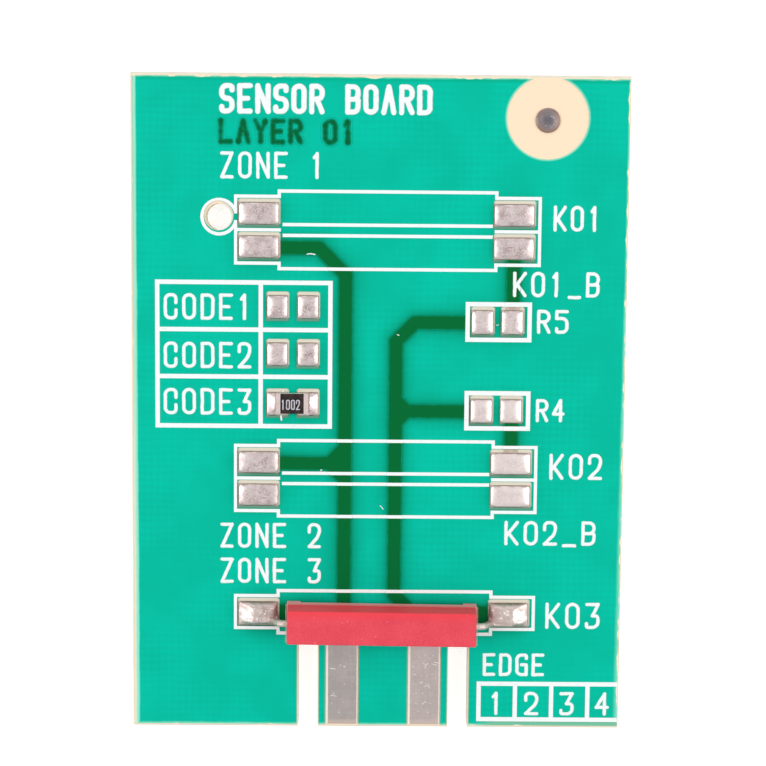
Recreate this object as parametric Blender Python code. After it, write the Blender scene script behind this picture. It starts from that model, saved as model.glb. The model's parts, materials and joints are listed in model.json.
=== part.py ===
"""Reed switch sensor board.

A small green single-sided circuit board for a moulded reed switch. The board has three places for
a reed switch and the lowest one is filled. A chip resistor closes one of three pairs of code pads,
and two tinned fingers on a tongue carry the switch's two contacts to an edge connector.

Frame: metres, +Z up. The board lies on its bare side. The origin is the centre of its underside,
+X is the board's right and +Y its top, with the tongue at -Y.
"""

import math

import bmesh
import bpy
from mathutils import Matrix, Vector

MM = 0.001

# Laminate
BOARD_THICKNESS = 1.6 * MM
LEFT_MARGIN = 7.785 * MM
RIGHT_MARGIN = 6.975 * MM
TOP_MARGIN = 8.46 * MM
SCORE_DEPTH = 0.45 * MM
SCORE_LEFT = 0.12 * MM
SCORE_RIGHT = 0.06 * MM
SCORE_TOP = 0.18 * MM
SCORE_BOTTOM = 0.19 * MM

# Layers on the laminate: etched copper, the solder mask that wraps over it, and tin
LAYER_GAP = 0.01 * MM
COPPER_THICKNESS = 0.035 * MM
MASK_THICKNESS = 0.03 * MM
TIN_THICKNESS = 0.02 * MM
MASK_SETBACK = 0.06 * MM
MASK_MARGIN = 0.06 * MM
MASK_SHIFT_X = 0.03 * MM
MASK_SHIFT_Y = 0.15 * MM
MASK_CORNER = 0.10 * MM
INK_THICKNESS = 0.015 * MM

# Reed places: rows of copper pads, given as steps up the board
ROW_3_UP = 7.19 * MM
ROW_3_TO_2B = 7.40 * MM
PAIR_STEP = 2.01 * MM
REED_PAD_LENGTH = 2.45 * MM
REED_PAD_WIDTH = 1.46 * MM
FITTED_PAD_WIDTH = 1.62 * MM

# Code pads for the chip resistor, three rows above reed row 2
CODE_3_UP = 3.595 * MM
CODE_3_TO_2 = 3.03 * MM
CODE_2_TO_1 = 2.88 * MM
CODE_1_TO_ROW_1B = 3.625 * MM
CODE_IN_FROM_COLUMN = 1.14 * MM
CODE_PITCH = 1.86 * MM
CODE_PAD_LENGTH = 1.28 * MM
CODE_PAD_WIDTH = 1.54 * MM

# Load pads at the right, between reed rows 1 and 2
LOAD_1_UP = 3.245 * MM
LOAD_STEP = 5.42 * MM
LOAD_PITCH = 1.81 * MM
LOAD_OUT_FROM_COLUMN = -0.035 * MM
LOAD_PAD_LENGTH = 1.33 * MM
LOAD_PAD_WIDTH = 1.59 * MM

# Tongue with its two fingers between two milled slots
FINGER_PITCH = 5.08 * MM
FINGER_WIDTH = 1.98 * MM
FINGER_LENGTH = 5.15 * MM
FINGER_FROM_EDGE = 0.30 * MM
FINGERS_X = 0.415 * MM
TONGUE_SHOULDER = 0.50 * MM
SLOT_WIDTH = 1.24 * MM
SLOT_PAST_FINGER = 0.65 * MM

# Printed tracks
TRACK_WIDTH = 0.82 * MM
STUB_WIDTH = 1.20 * MM
LEFT_TRACK_SHIFT = 0.085 * MM
RIGHT_TRACK_SHIFT = -1.915 * MM
LEFT_ELBOW = 1.61 * MM
RIGHT_ELBOW = 1.16 * MM
LEFT_FLARE = 0.70 * MM
RIGHT_FLARE = 0.45 * MM
JOG_ABOVE_ROW_3 = 1.30 * MM

# Drilled hole beside reed row 1, and the round sighting mark in the corner
HOLE_DIAMETER = 1.6 * MM
HOLE_CLEARANCE = 0.10 * MM
HOLE_FROM_COLUMN = 2.445 * MM
HOLE_BELOW_ROW_1A = 0.18 * MM
MARK_DIAMETER = 1.50 * MM
MARK_OPENING = 4.98 * MM
MARK_FROM_RIGHT = 5.05 * MM
MARK_FROM_TOP = 2.72 * MM

# White printed outlines, placed from the pads that they go round
PRINT_LINE = 0.20 * MM
BOX_LINE = 0.27 * MM
PRINT_SHIFT_X = 0.075 * MM
PRINT_SHIFT_Y = 0.06 * MM
PRINT_3_SHIFT_Y = 0.15 * MM
OUTLINE_PAST_COLUMN = 1.465 * MM
OUTLINE_STEP_IN = 1.16 * MM
OUTLINE_LINE_IN = 1.47 * MM
OUTLINE_RISE = 0.325 * MM
HOLE_RING_DIAMETER = 2.08 * MM
HOLE_RING_GAP = 0.60 * MM
TABLE_LEFT_OF_CODES = 7.275 * MM
TABLE_DIVIDER_OUT = 1.005 * MM
TABLE_RIGHT_OF_CODES = 1.355 * MM
TABLE_TOP_OVER_CODE_1 = 1.51 * MM
TABLE_ROW = 2.865 * MM
TABLE_LAST_ROW = 3.02 * MM
LOAD_BOX_LENGTH = 3.76 * MM
LOAD_BOX_WIDTH = 2.16 * MM
CONNECTOR_LEFT = 6.365 * MM
CONNECTOR_CELL = 2.25 * MM
CONNECTOR_CELLS = 4
CONNECTOR_HEIGHT = 2.25 * MM
CONNECTOR_UP = 0.645 * MM

# Solder on the pads
SOLDER_HEIGHT = 0.14 * MM
SOLDER_SKIRT = 0.02 * MM
SOLDER_FLATNESS = 4
SOLDER_ROUND_IN = 0.06
JOINT_HEIGHT = 0.46 * MM
FILLET_HEIGHT = 0.34 * MM
FILLET_BED = 0.03 * MM
FILLET_HOLLOW = 1.5

# Chip resistor
CHIP_LENGTH = 2.0 * MM
CHIP_WIDTH = 1.22 * MM
CHIP_HEIGHT = 0.45 * MM
CHIP_CAP_LENGTH = 0.29 * MM
CHIP_CAP_WALL = 0.035 * MM
CHIP_GLAZE = 0.03 * MM
CHIP_SHIFT_Y = 0.10 * MM

# Moulded reed switch
BODY_LENGTH = 11.7 * MM
BODY_WIDTH = 2.32 * MM
BODY_HEIGHT = 2.30 * MM
BODY_DRAFT_TOP = 0.14 * MM
BODY_DRAFT_BOTTOM = 0.01 * MM
BODY_EDGE = 0.07 * MM
FOOT_LENGTH = 0.85 * MM
FOOT_HEIGHT = 0.30 * MM
AXIS_HEIGHT = 1.16 * MM
REED_TURN = math.radians(-0.5)
REED_SHIFT_X = -0.105 * MM
REED_SHIFT_Y = -0.35 * MM
GLASS_DIAMETER = 1.5 * MM
GLASS_LENGTH = 8.6 * MM
GLASS_WALL = 0.2 * MM
GLASS_SEAL = 0.9 * MM
WIRE_DIAMETER = 0.43 * MM
WIRE_REACH = 1.87 * MM
WIRE_FOOT = 1.30 * MM
WIRE_FOOT_PAST_PAD = 0.35 * MM
WIRE_DROP_RUN = 0.50 * MM
WIRE_BEND = 0.25 * MM
WIRE_BED = 0.03 * MM
BLADE_WIDTH = 0.72 * MM
BLADE_THICKNESS = 0.14 * MM
BLADE_GAP = 0.03 * MM
BLADE_OVERLAP = 0.7 * MM
BLADE_NECK = 0.9 * MM

# How finely round forms are cut into facets
OPENING_SEGMENTS = 1
BODY_SEGMENTS = 2
ROUND_SIDES = 24
JOINT_SIDES = 16
OPENING_SIDES = 40
TURNED_SIDES = 16
WIRE_SIDES = 12
GLASS_END_STEPS = 4
DOME_STEPS = 3
FILLET_STEPS = 6
SHARP_ANGLE = math.radians(35)
MERGE = 0.0001 * MM
ROUND = 2.0
FLAT = 8.0

# Worked out from the values above
PAD_SPAN = BODY_LENGTH + 2 * WIRE_REACH
BOARD_WIDTH = LEFT_MARGIN + PAD_SPAN + RIGHT_MARGIN
LEFT_COLUMN = -BOARD_WIDTH / 2 + LEFT_MARGIN
RIGHT_COLUMN = LEFT_COLUMN + PAD_SPAN
ROW_2_TO_1B = CODE_3_UP + CODE_3_TO_2 + CODE_2_TO_1 + CODE_1_TO_ROW_1B
BOARD_LENGTH = ROW_3_UP + ROW_3_TO_2B + PAIR_STEP + ROW_2_TO_1B + PAIR_STEP + TOP_MARGIN
BOTTOM_EDGE = -BOARD_LENGTH / 2
TOP_EDGE = BOARD_LENGTH / 2
ROW_3 = BOTTOM_EDGE + ROW_3_UP
ROW_2B = ROW_3 + ROW_3_TO_2B
ROW_2A = ROW_2B + PAIR_STEP
ROW_1B = ROW_2A + ROW_2_TO_1B
ROW_1A = ROW_1B + PAIR_STEP
LOAD_1 = ROW_2A + LOAD_1_UP
LOAD_2 = LOAD_1 + LOAD_STEP
LEFT_FINGER = FINGERS_X - FINGER_PITCH / 2
RIGHT_FINGER = FINGERS_X + FINGER_PITCH / 2
FINGER_BOTTOM = BOTTOM_EDGE + FINGER_FROM_EDGE
FINGER_TOP = FINGER_BOTTOM + FINGER_LENGTH
TONGUE_WIDTH = FINGER_PITCH + FINGER_WIDTH + 2 * TONGUE_SHOULDER
SLOT_TOP = FINGER_TOP + SLOT_PAST_FINGER
LEFT_TRACK = LEFT_FINGER + LEFT_TRACK_SHIFT
RIGHT_TRACK = RIGHT_FINGER + RIGHT_TRACK_SHIFT

COPPER_BASE = BOARD_THICKNESS + LAYER_GAP
COPPER_TOP = COPPER_BASE + COPPER_THICKNESS
MASK_BASE = BOARD_THICKNESS + LAYER_GAP
MASK_TOP = MASK_BASE + MASK_THICKNESS
CHANNEL_ROOF = COPPER_TOP + LAYER_GAP
RIDGE_TOP = CHANNEL_ROOF + MASK_THICKNESS
TIN_BASE = COPPER_TOP + LAYER_GAP
RIDGE_REACH = LAYER_GAP + 2 * MASK_THICKNESS
INK_ON_FILM = MASK_TOP + LAYER_GAP
INK_ON_RIDGE = RIDGE_TOP + LAYER_GAP
BODY_BASE = INK_ON_RIDGE + INK_THICKNESS + LAYER_GAP
BODY_TOP = BODY_BASE + BODY_HEIGHT
AXIS_LEVEL = BODY_BASE + AXIS_HEIGHT

RED = (0.62, 0.045, 0.07)
CREAM = (0.86, 0.76, 0.56)
GREEN = (0.0, 0.42, 0.28)
COPPER = (0.72, 0.35, 0.20)
TIN = (0.66, 0.62, 0.60)
CERAMIC = (0.85, 0.84, 0.80)
BLACK = (0.02, 0.018, 0.018)
CLEAR = (0.75, 0.85, 0.80)
NICKEL = (0.55, 0.52, 0.49)
WHITE = (0.90, 0.92, 0.92)


def clear_scene():
    """Remove the objects that Blender starts with."""
    for item in list(bpy.data.objects):
        bpy.data.objects.remove(item, do_unlink=True)


def new_collection(name, hidden=False):
    """Add a collection to the scene."""
    collection = bpy.data.collections.new(name)
    bpy.context.scene.collection.children.link(collection)
    collection.hide_render = hidden
    return collection


def material(name, colour, roughness, metallic=0.0):
    """A Principled material of one colour."""
    made = bpy.data.materials.new(name)
    made.use_nodes = True
    shader = made.node_tree.nodes["Principled BSDF"]
    shader.inputs["Base Color"].default_value = (*colour, 1.0)
    shader.inputs["Roughness"].default_value = roughness
    shader.inputs["Metallic"].default_value = metallic
    made.diffuse_color = (*colour, 1.0)
    return made


def finish(name, shape, collection, finish_material=None):
    """Turn a bmesh into a named object in a collection."""
    bmesh.ops.recalc_face_normals(shape, faces=shape.faces)
    mesh = bpy.data.meshes.new(name)
    shape.to_mesh(mesh)
    shape.free()
    made = bpy.data.objects.new(name, mesh)
    collection.objects.link(made)
    if finish_material:
        mesh.materials.append(finish_material)
        mesh.shade_smooth()
        mesh.set_sharp_from_angle(angle=SHARP_ANGLE)
    return made


def as_cutter(made):
    """Show a cutter as wire and leave it out of renders."""
    made.hide_render = True
    made.display_type = "WIRE"
    return made


def boolean(target, operation, operand):
    """Boolean with one object, or with every object of a collection."""
    step = target.modifiers.new(operation.title(), "BOOLEAN")
    step.operation = operation
    step.solver = "EXACT"
    if isinstance(operand, bpy.types.Collection):
        step.operand_type = "COLLECTION"
        step.collection = operand
    else:
        step.object = operand
    return step


def box(x0, x1, y0, y1, z0, z1, corner=0.0, taper=0.0):
    """A block between two corners; corner rounds its upright edges, taper narrows its top."""
    shape = bmesh.new()
    centre = Vector(((x0 + x1) / 2, (y0 + y1) / 2, (z0 + z1) / 2))
    size = Matrix.Diagonal((x1 - x0, y1 - y0, z1 - z0, 1.0))
    bmesh.ops.create_cube(shape, size=1.0, matrix=Matrix.Translation(centre) @ size)
    if corner > 0.0:
        upright = [edge for edge in shape.edges if abs(rise(edge)) > (z1 - z0) / 2]
        bmesh.ops.bevel(shape, geom=upright, offset=corner, segments=OPENING_SEGMENTS, affect="EDGES",
                        profile=0.5)
    narrow_top(shape, centre, taper)
    return shape


def rise(edge):
    """How far an edge climbs."""
    return edge.verts[1].co.z - edge.verts[0].co.z


def narrow_top(shape, centre, taper):
    """Draw the upper corners in towards the centre, so that the sides slope."""
    if taper > 0.0:
        for corner in shape.verts:
            if corner.co.z > centre.z:
                corner.co.x -= math.copysign(taper, corner.co.x - centre.x)
                corner.co.y -= math.copysign(taper, corner.co.y - centre.y)


def disc(x, y, radius, z0, z1, sides=ROUND_SIDES, taper=0.0):
    """An upright cylinder; taper makes its top smaller."""
    shape = bmesh.new()
    place = Matrix.Translation((x, y, (z0 + z1) / 2))
    bmesh.ops.create_cone(shape, cap_ends=True, segments=sides, radius1=radius, radius2=radius - taper,
                          depth=z1 - z0, matrix=place)
    return shape


def strip(start, end, half_width, z0, z1, past=0.0, taper=0.0):
    """A straight bar between two points of the plan, square at its ends, which may run past the points."""
    run = Vector(end) - Vector(start)
    shape = box(-past, run.length + past, -half_width, half_width, z0, z1, taper=taper)
    turn = Matrix.Rotation(math.atan2(run.y, run.x), 4, "Z")
    bmesh.ops.transform(shape, matrix=Matrix.Translation((start[0], start[1], 0.0)) @ turn, verts=shape.verts)
    return shape


class Pad:
    """A rectangle of copper with its opening in the solder mask."""

    def __init__(self, name, x, y, length, width):
        self.name = name
        self.x = x
        self.y = y
        self.length = length
        self.width = width

    def copper(self, grow, z0, z1, taper=0.0):
        """The copper's block, made larger all round by grow."""
        half_x = self.length / 2 + grow
        half_y = self.width / 2 + grow
        return box(self.x - half_x, self.x + half_x, self.y - half_y, self.y + half_y, z0, z1, taper=taper)

    def opening(self, z0, z1):
        """The cutter for the mask's opening, which lies a little up and right of the copper."""
        x = self.x + MASK_SHIFT_X
        y = self.y + MASK_SHIFT_Y
        half_x = self.length / 2 + MASK_MARGIN
        half_y = self.width / 2 + MASK_MARGIN
        return box(x - half_x, x + half_x, y - half_y, y + half_y, z0, z1, MASK_CORNER)

    def bare(self):
        """The part of the copper that the opening leaves bare: x0, x1, y0, y1."""
        half_x = self.length / 2 - LAYER_GAP
        half_y = self.width / 2 - LAYER_GAP
        covered_x = max(MASK_SHIFT_X - MASK_MARGIN, 0.0)
        covered_y = max(MASK_SHIFT_Y - MASK_MARGIN, 0.0)
        return self.x - half_x + covered_x, self.x + half_x, self.y - half_y + covered_y, self.y + half_y


class Track:
    """A printed track: straight runs with round joints along a list of points."""

    def __init__(self, points, width=TRACK_WIDTH):
        self.points = points
        self.width = width

    def pieces(self, grow, z0, z1, taper=0.0):
        """The bars and the round joints that make the track."""
        half_width = self.width / 2 + grow
        made = []
        for start, end in zip(self.points, self.points[1:]):
            made.append(strip(start, end, half_width, z0, z1, taper=taper))
        for x, y in self.points[1:-1]:
            made.append(disc(x, y, half_width, z0, z1, JOINT_SIDES, taper))
        return made


def reed_pads():
    """Pads of the five reed positions, left and right, by name."""
    rows = (("reed_1a", ROW_1A, REED_PAD_WIDTH), ("reed_1b", ROW_1B, REED_PAD_WIDTH),
            ("reed_2a", ROW_2A, REED_PAD_WIDTH), ("reed_2b", ROW_2B, REED_PAD_WIDTH),
            ("reed_3", ROW_3, FITTED_PAD_WIDTH))
    made = {}
    for name, y, width in rows:
        for side, x in (("left", LEFT_COLUMN), ("right", RIGHT_COLUMN)):
            made[f"{name}_{side}"] = Pad(f"{name}_{side}", x, y, REED_PAD_LENGTH, width)
    return made


def code_pads():
    """The three pairs of code pads for the chip resistor, by name."""
    left = LEFT_COLUMN + CODE_IN_FROM_COLUMN
    code_3 = ROW_2A + CODE_3_UP
    code_2 = code_3 + CODE_3_TO_2
    rows = (("code_3", code_3), ("code_2", code_2), ("code_1", code_2 + CODE_2_TO_1))
    made = {}
    for name, y in rows:
        for side, x in (("left", left), ("right", left + CODE_PITCH)):
            made[f"{name}_{side}"] = Pad(f"{name}_{side}", x, y, CODE_PAD_LENGTH, CODE_PAD_WIDTH)
    return made


def load_pads():
    """The two pairs of load pads beside the right column, by name."""
    right = RIGHT_COLUMN + LOAD_OUT_FROM_COLUMN
    made = {}
    for name, y in (("load_1", LOAD_1), ("load_2", LOAD_2)):
        for side, x in (("left", right - LOAD_PITCH), ("right", right)):
            made[f"{name}_{side}"] = Pad(f"{name}_{side}", x, y, LOAD_PAD_LENGTH, LOAD_PAD_WIDTH)
    return made


def flare(x, y, side, leg):
    """Two short tracks at 45 degrees that widen a branch where it meets a track at x."""
    reach = leg + TRACK_WIDTH * (1 - math.cos(math.radians(45)))
    inner = (x + side * reach, y)
    return [Track([inner, (x, y + reach)]), Track([inner, (x, y - reach)])]


def finger(x):
    """The copper of one edge finger."""
    return Pad("finger", x, (FINGER_BOTTOM + FINGER_TOP) / 2, FINGER_WIDTH, FINGER_LENGTH)


def nets(pads):
    """Each piece of copper on the board: node name to its pads and tracks."""
    left, right = LEFT_TRACK, RIGHT_TRACK
    elbow_y = ROW_1B - LEFT_ELBOW
    bend_x = right + RIGHT_ELBOW
    jog_y = ROW_3 + JOG_ABOVE_ROW_3
    jog_x = right + JOG_ABOVE_ROW_3
    into_finger = FINGER_TOP - TRACK_WIDTH
    left_run = [
        pads["reed_1b_left"], pads["reed_2a_left"], pads["reed_3_left"], finger(LEFT_FINGER),
        Track([(LEFT_COLUMN, ROW_1B), (left - LEFT_ELBOW, ROW_1B), (left, elbow_y),
               (left, into_finger)]),
        Track([(LEFT_COLUMN, ROW_2A), (left, ROW_2A)]), *flare(left, ROW_2A, -1, LEFT_FLARE),
        Track([(LEFT_COLUMN, ROW_3), (left, ROW_3)], STUB_WIDTH)]
    right_run = [
        pads["load_2_left"], pads["load_1_left"], pads["reed_3_right"], finger(RIGHT_FINGER),
        Track([(pads["load_2_left"].x, LOAD_2), (bend_x, LOAD_2), (right, LOAD_2 - RIGHT_ELBOW),
               (right, jog_y), (jog_x, ROW_3)]),
        Track([(pads["load_1_left"].x, LOAD_1), (right, LOAD_1)]), *flare(right, LOAD_1, 1, RIGHT_FLARE),
        Track([(jog_x, ROW_3), (RIGHT_COLUMN, ROW_3)], STUB_WIDTH),
        Track([(RIGHT_FINGER, ROW_3), (RIGHT_FINGER, into_finger)], STUB_WIDTH)]
    upper = [pads["reed_1b_right"], pads["load_2_right"],
             Track([(RIGHT_COLUMN, ROW_1B), (RIGHT_COLUMN, LOAD_2)])]
    lower = [pads["reed_2a_right"], pads["load_1_right"],
             Track([(RIGHT_COLUMN, LOAD_1), (RIGHT_COLUMN, ROW_2A)])]
    made = {"copper_run_left": left_run, "copper_run_right": right_run,
            "copper_link_upper": upper, "copper_link_lower": lower}
    alone = ["reed_1a_left", "reed_1a_right", "reed_2b_left", "reed_2b_right"]
    alone += [name for name in pads if name.startswith("code")]
    for name in alone:
        made[f"copper_{name}"] = [pads[name]]
    return made


def net_shapes(net, grow, z0, z1, taper=0.0):
    """All blocks of one net at the given growth and heights."""
    made = []
    for piece in net:
        if isinstance(piece, Pad):
            made.append(piece.copper(grow, z0, z1, taper))
        else:
            made += piece.pieces(grow, z0, z1, taper)
    return made


def joined(name, shapes, parts, finish_material):
    """One object from several overlapping shapes."""
    first, *others = shapes
    made = finish(name, first, parts, finish_material)
    if others:
        pieces = new_collection(f"{name} pieces", hidden=True)
        for number, shape in enumerate(others):
            as_cutter(finish(f"{name} piece {number}", shape, pieces))
        boolean(made, "UNION", pieces)
    return made


def build_copper(all_nets, parts):
    """Etch each net as one piece of foil."""
    foil = material("copper foil", COPPER, 0.35, 1.0)
    for name, net in all_nets.items():
        joined(name, net_shapes(net, 0.0, COPPER_BASE, COPPER_TOP), parts, foil)
    mark = disc(*mark_centre(), MARK_DIAMETER / 2, COPPER_BASE, COPPER_TOP)
    finish("copper_mark", mark, parts, foil)


def mark_centre():
    """Plan position of the round sighting mark."""
    return BOARD_WIDTH / 2 - MARK_FROM_RIGHT, TOP_EDGE - MARK_FROM_TOP


def hole_centre():
    """Plan position of the drilled hole."""
    return LEFT_COLUMN - HOLE_FROM_COLUMN, ROW_1A - HOLE_BELOW_ROW_1A


def slot_shape(side, z0, z1, grow=0.0):
    """Cutter for one milled slot beside the tongue, with a round inner end."""
    x = FINGERS_X + side * (TONGUE_WIDTH + SLOT_WIDTH) / 2
    radius = SLOT_WIDTH / 2 + grow
    end = SLOT_TOP - SLOT_WIDTH / 2
    straight = box(x - radius, x + radius, BOTTOM_EDGE - SLOT_WIDTH, end, z0, z1)
    return straight, disc(x, end, radius, z0, z1)


def build_laminate(parts):
    """The glass-epoxy board: scored edges, two slots and a drilled hole."""
    shape = box(-BOARD_WIDTH / 2, BOARD_WIDTH / 2, BOTTOM_EDGE, TOP_EDGE, 0.0, BOARD_THICKNESS)
    for level in (SCORE_DEPTH, BOARD_THICKNESS - SCORE_DEPTH):
        geometry = shape.verts[:] + shape.edges[:] + shape.faces[:]
        bmesh.ops.bisect_plane(shape, geom=geometry, plane_co=(0, 0, level), plane_no=(0, 0, 1))
    for corner in shape.verts:
        if SCORE_DEPTH / 2 < corner.co.z < BOARD_THICKNESS - SCORE_DEPTH / 2:
            continue
        corner.co.x += SCORE_LEFT if corner.co.x < 0.0 else -SCORE_RIGHT
        corner.co.y += SCORE_BOTTOM if corner.co.y < 0.0 else -SCORE_TOP
    made = finish("laminate", shape, parts, material("glass epoxy", CREAM, 0.5))
    openings = new_collection("laminate cutters", hidden=True)
    low, high = -BOARD_THICKNESS, 2 * BOARD_THICKNESS
    for side in (-1, 1):
        for number, shape in enumerate(slot_shape(side, low, high)):
            as_cutter(finish(f"slot {side} {number}", shape, openings))
    drill = disc(*hole_centre(), HOLE_DIAMETER / 2, low, high, OPENING_SIDES)
    as_cutter(finish("drill", drill, openings))
    boolean(made, "DIFFERENCE", openings)
    return made


def mask_openings(pads):
    """Cutters for the mask's openings: pads, fingers, slots, hole and mark."""
    openings = new_collection("mask openings", hidden=True)
    below = MASK_BASE - MASK_THICKNESS
    above = BODY_BASE + MASK_THICKNESS
    shapes = [pad.opening(below, above) for pad in pads.values()]
    half_x = FINGER_WIDTH / 2 + MASK_MARGIN
    for x in (LEFT_FINGER, RIGHT_FINGER):
        shapes.append(box(x - half_x, x + half_x, BOTTOM_EDGE, FINGER_TOP - MASK_MARGIN, below, above))
    for side in (-1, 1):
        shapes += slot_shape(side, below, above, MASK_SETBACK)
    hole_x, hole_y = hole_centre()
    radius = HOLE_DIAMETER / 2 + HOLE_CLEARANCE
    shapes.append(disc(hole_x + MASK_SHIFT_X, hole_y + MASK_SHIFT_Y / 2, radius, below, above, OPENING_SIDES))
    mark_x, mark_y = mark_centre()
    shapes.append(disc(mark_x, mark_y + MASK_SHIFT_Y, MARK_OPENING / 2, below, above, OPENING_SIDES))
    for number, shape in enumerate(shapes):
        as_cutter(finish(f"mask opening {number}", shape, openings))
    return openings


def net_blocks(title, all_nets, grow, z0, z1, taper=0.0):
    """A collection of cutters that follow every track and pad at the given growth and heights."""
    blocks = new_collection(title, hidden=True)
    for name, net in all_nets.items():
        for number, shape in enumerate(net_shapes(net, grow, z0, z1, taper)):
            as_cutter(finish(f"{title} {name} {number}", shape, blocks))
    return blocks


def film(low, high):
    """A flat sheet over the whole board inside its scored edges."""
    half = BOARD_WIDTH / 2
    return box(-half + SCORE_LEFT + MASK_SETBACK, half - SCORE_RIGHT - MASK_SETBACK,
               BOTTOM_EDGE + SCORE_BOTTOM + MASK_SETBACK, TOP_EDGE - SCORE_TOP - MASK_SETBACK, low, high)


def build_mask(all_nets, openings, parts):
    """The solder mask: a film that rides up over the copper and is open over the pads."""
    made = finish("solder_mask", film(MASK_BASE, MASK_TOP), parts, material("solder mask", GREEN, 0.3))
    middle = (MASK_BASE + MASK_TOP) / 2
    below = MASK_BASE - MASK_THICKNESS
    ridges = net_blocks("mask ridges", all_nets, RIDGE_REACH, middle, RIDGE_TOP, MASK_THICKNESS)
    channels = net_blocks("mask channels", all_nets, LAYER_GAP, below, CHANNEL_ROOF)
    boolean(made, "UNION", ridges)
    boolean(made, "DIFFERENCE", channels)
    boolean(made, "DIFFERENCE", openings)
    return made


def ink_skin(all_nets, openings, cutters):
    """The thin layer over the mask that ink can fill: it follows the ridges and stops at the openings."""
    made = as_cutter(finish("ink skin", film(MASK_BASE, INK_ON_FILM + INK_THICKNESS), cutters))
    reach = RIDGE_REACH + LAYER_GAP
    below = MASK_BASE - MASK_THICKNESS
    middle = (MASK_BASE + MASK_TOP) / 2
    over = net_blocks("over ridges", all_nets, reach + INK_THICKNESS, middle, INK_ON_RIDGE + INK_THICKNESS,
                      MASK_THICKNESS)
    under = net_blocks("under ink", all_nets, reach, below, INK_ON_RIDGE, MASK_THICKNESS)
    half = BOARD_WIDTH / 2
    as_cutter(finish("under ink film", box(-half, half, BOTTOM_EDGE, TOP_EDGE, below, INK_ON_FILM), under))
    boolean(made, "UNION", over)
    boolean(made, "DIFFERENCE", under)
    boolean(made, "DIFFERENCE", openings)
    return made


class Print:
    """White printed lines of one width, drawn as bars that are later cut to the thickness of the ink."""

    low = MASK_BASE
    high = BODY_BASE

    def __init__(self, width):
        self.half = width / 2
        self.shapes = []

    def line(self, *points):
        """Straight runs through the points, with square corners."""
        for start, end in zip(points, points[1:]):
            self.shapes.append(strip(start, end, self.half, self.low, self.high, past=self.half))

    def arc(self, x, y, diameter, gap):
        """A ring that is open towards +X by the given gap."""
        opening = math.asin(gap / diameter)
        shape = bmesh.new()
        inner, outer = diameter / 2 - self.half, diameter / 2 + self.half
        section = ((inner, self.low), (outer, self.low), (outer, self.high), (inner, self.high))
        face = shape.faces.new([shape.verts.new((along, 0.0, level)) for along, level in section])
        geometry = face.verts[:] + face.edges[:] + [face]
        bmesh.ops.spin(shape, geom=geometry, cent=(0, 0, 0), axis=(0, 0, 1), angle=math.tau - 2 * opening,
                       steps=ROUND_SIDES)
        place = Matrix.Translation((x, y, 0.0)) @ Matrix.Rotation(opening, 4, "Z")
        bmesh.ops.transform(shape, matrix=place, verts=shape.verts)
        self.shapes.append(shape)


def reed_outline(rows, shift_y, bottom_ends=None):
    """Outline of a reed place: end boxes round its pads and, stepped outwards, the sides of the switch.

    bottom_ends gives x where the bottom line's two halves stop; without it they meet.
    """
    ink = Print(PRINT_LINE)
    middle = (LEFT_COLUMN + RIGHT_COLUMN) / 2 + PRINT_SHIFT_X
    reach = PAD_SPAN / 2 + OUTLINE_PAST_COLUMN
    step = PAD_SPAN / 2 - OUTLINE_STEP_IN
    top = rows[0] + PAIR_STEP / 2 + shift_y
    bottom = rows[-1] - PAIR_STEP / 2 + shift_y
    for side, stop in zip((-1, 1), bottom_ends or (middle, middle)):
        end, inner = middle + side * reach, middle + side * step
        ink.line((middle, top + OUTLINE_RISE), (inner, top + OUTLINE_RISE), (inner, top), (end, top))
        below = bottom - OUTLINE_RISE
        ink.line((stop, below), (inner, below), (inner, bottom), (end, bottom))
        for row in rows[1:]:
            between = row + PAIR_STEP / 2 + shift_y
            ink.line((end, between), (inner, between))
    return ink, middle - reach, middle + reach, top, bottom


def pair_outline(name, rows, skin, parts, white, hole=None):
    """A place for two switches: its outline, and the two lines between them."""
    ink, left, right, top, bottom = reed_outline(rows, PRINT_SHIFT_Y)
    ink.line((right, top), (right, bottom))
    if hole:
        hole_x, hole_y = hole
        ring_x = left - math.sqrt(HOLE_RING_DIAMETER ** 2 - HOLE_RING_GAP ** 2) / 2
        ink.arc(ring_x, hole_y, HOLE_RING_DIAMETER, HOLE_RING_GAP)
        ink.line((left, top), (left, hole_y + HOLE_RING_GAP / 2))
        ink.line((left, hole_y - HOLE_RING_GAP / 2), (left, bottom))
    else:
        ink.line((left, top), (left, bottom))
    boolean(joined(name, ink.shapes, parts, white), "INTERSECT", skin)
    middle = (left + right) / 2
    half = PAD_SPAN / 2 - OUTLINE_LINE_IN
    between = (top + bottom) / 2
    for label, side in (("upper", 1), ("lower", -1)):
        ink = Print(PRINT_LINE)
        level = between + side * OUTLINE_RISE
        ink.line((middle - half, level), (middle + half, level))
        boolean(joined(f"{name}_{label}_line", ink.shapes, parts, white), "INTERSECT", skin)


def code_table(pads):
    """The ruled table round the code pads: three rows and a column for their numbers."""
    ink = Print(BOX_LINE)
    left = pads["code_1_left"].x - TABLE_LEFT_OF_CODES
    divider = pads["code_1_left"].x - TABLE_DIVIDER_OUT
    right = pads["code_1_right"].x + TABLE_RIGHT_OF_CODES
    top = pads["code_1_left"].y + TABLE_TOP_OVER_CODE_1
    levels = [top, top - TABLE_ROW, top - 2 * TABLE_ROW, top - 2 * TABLE_ROW - TABLE_LAST_ROW]
    for level in levels:
        ink.line((left, level), (right, level))
    for x in (left, divider, right):
        ink.line((x, top), (x, levels[-1]))
    return ink


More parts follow.
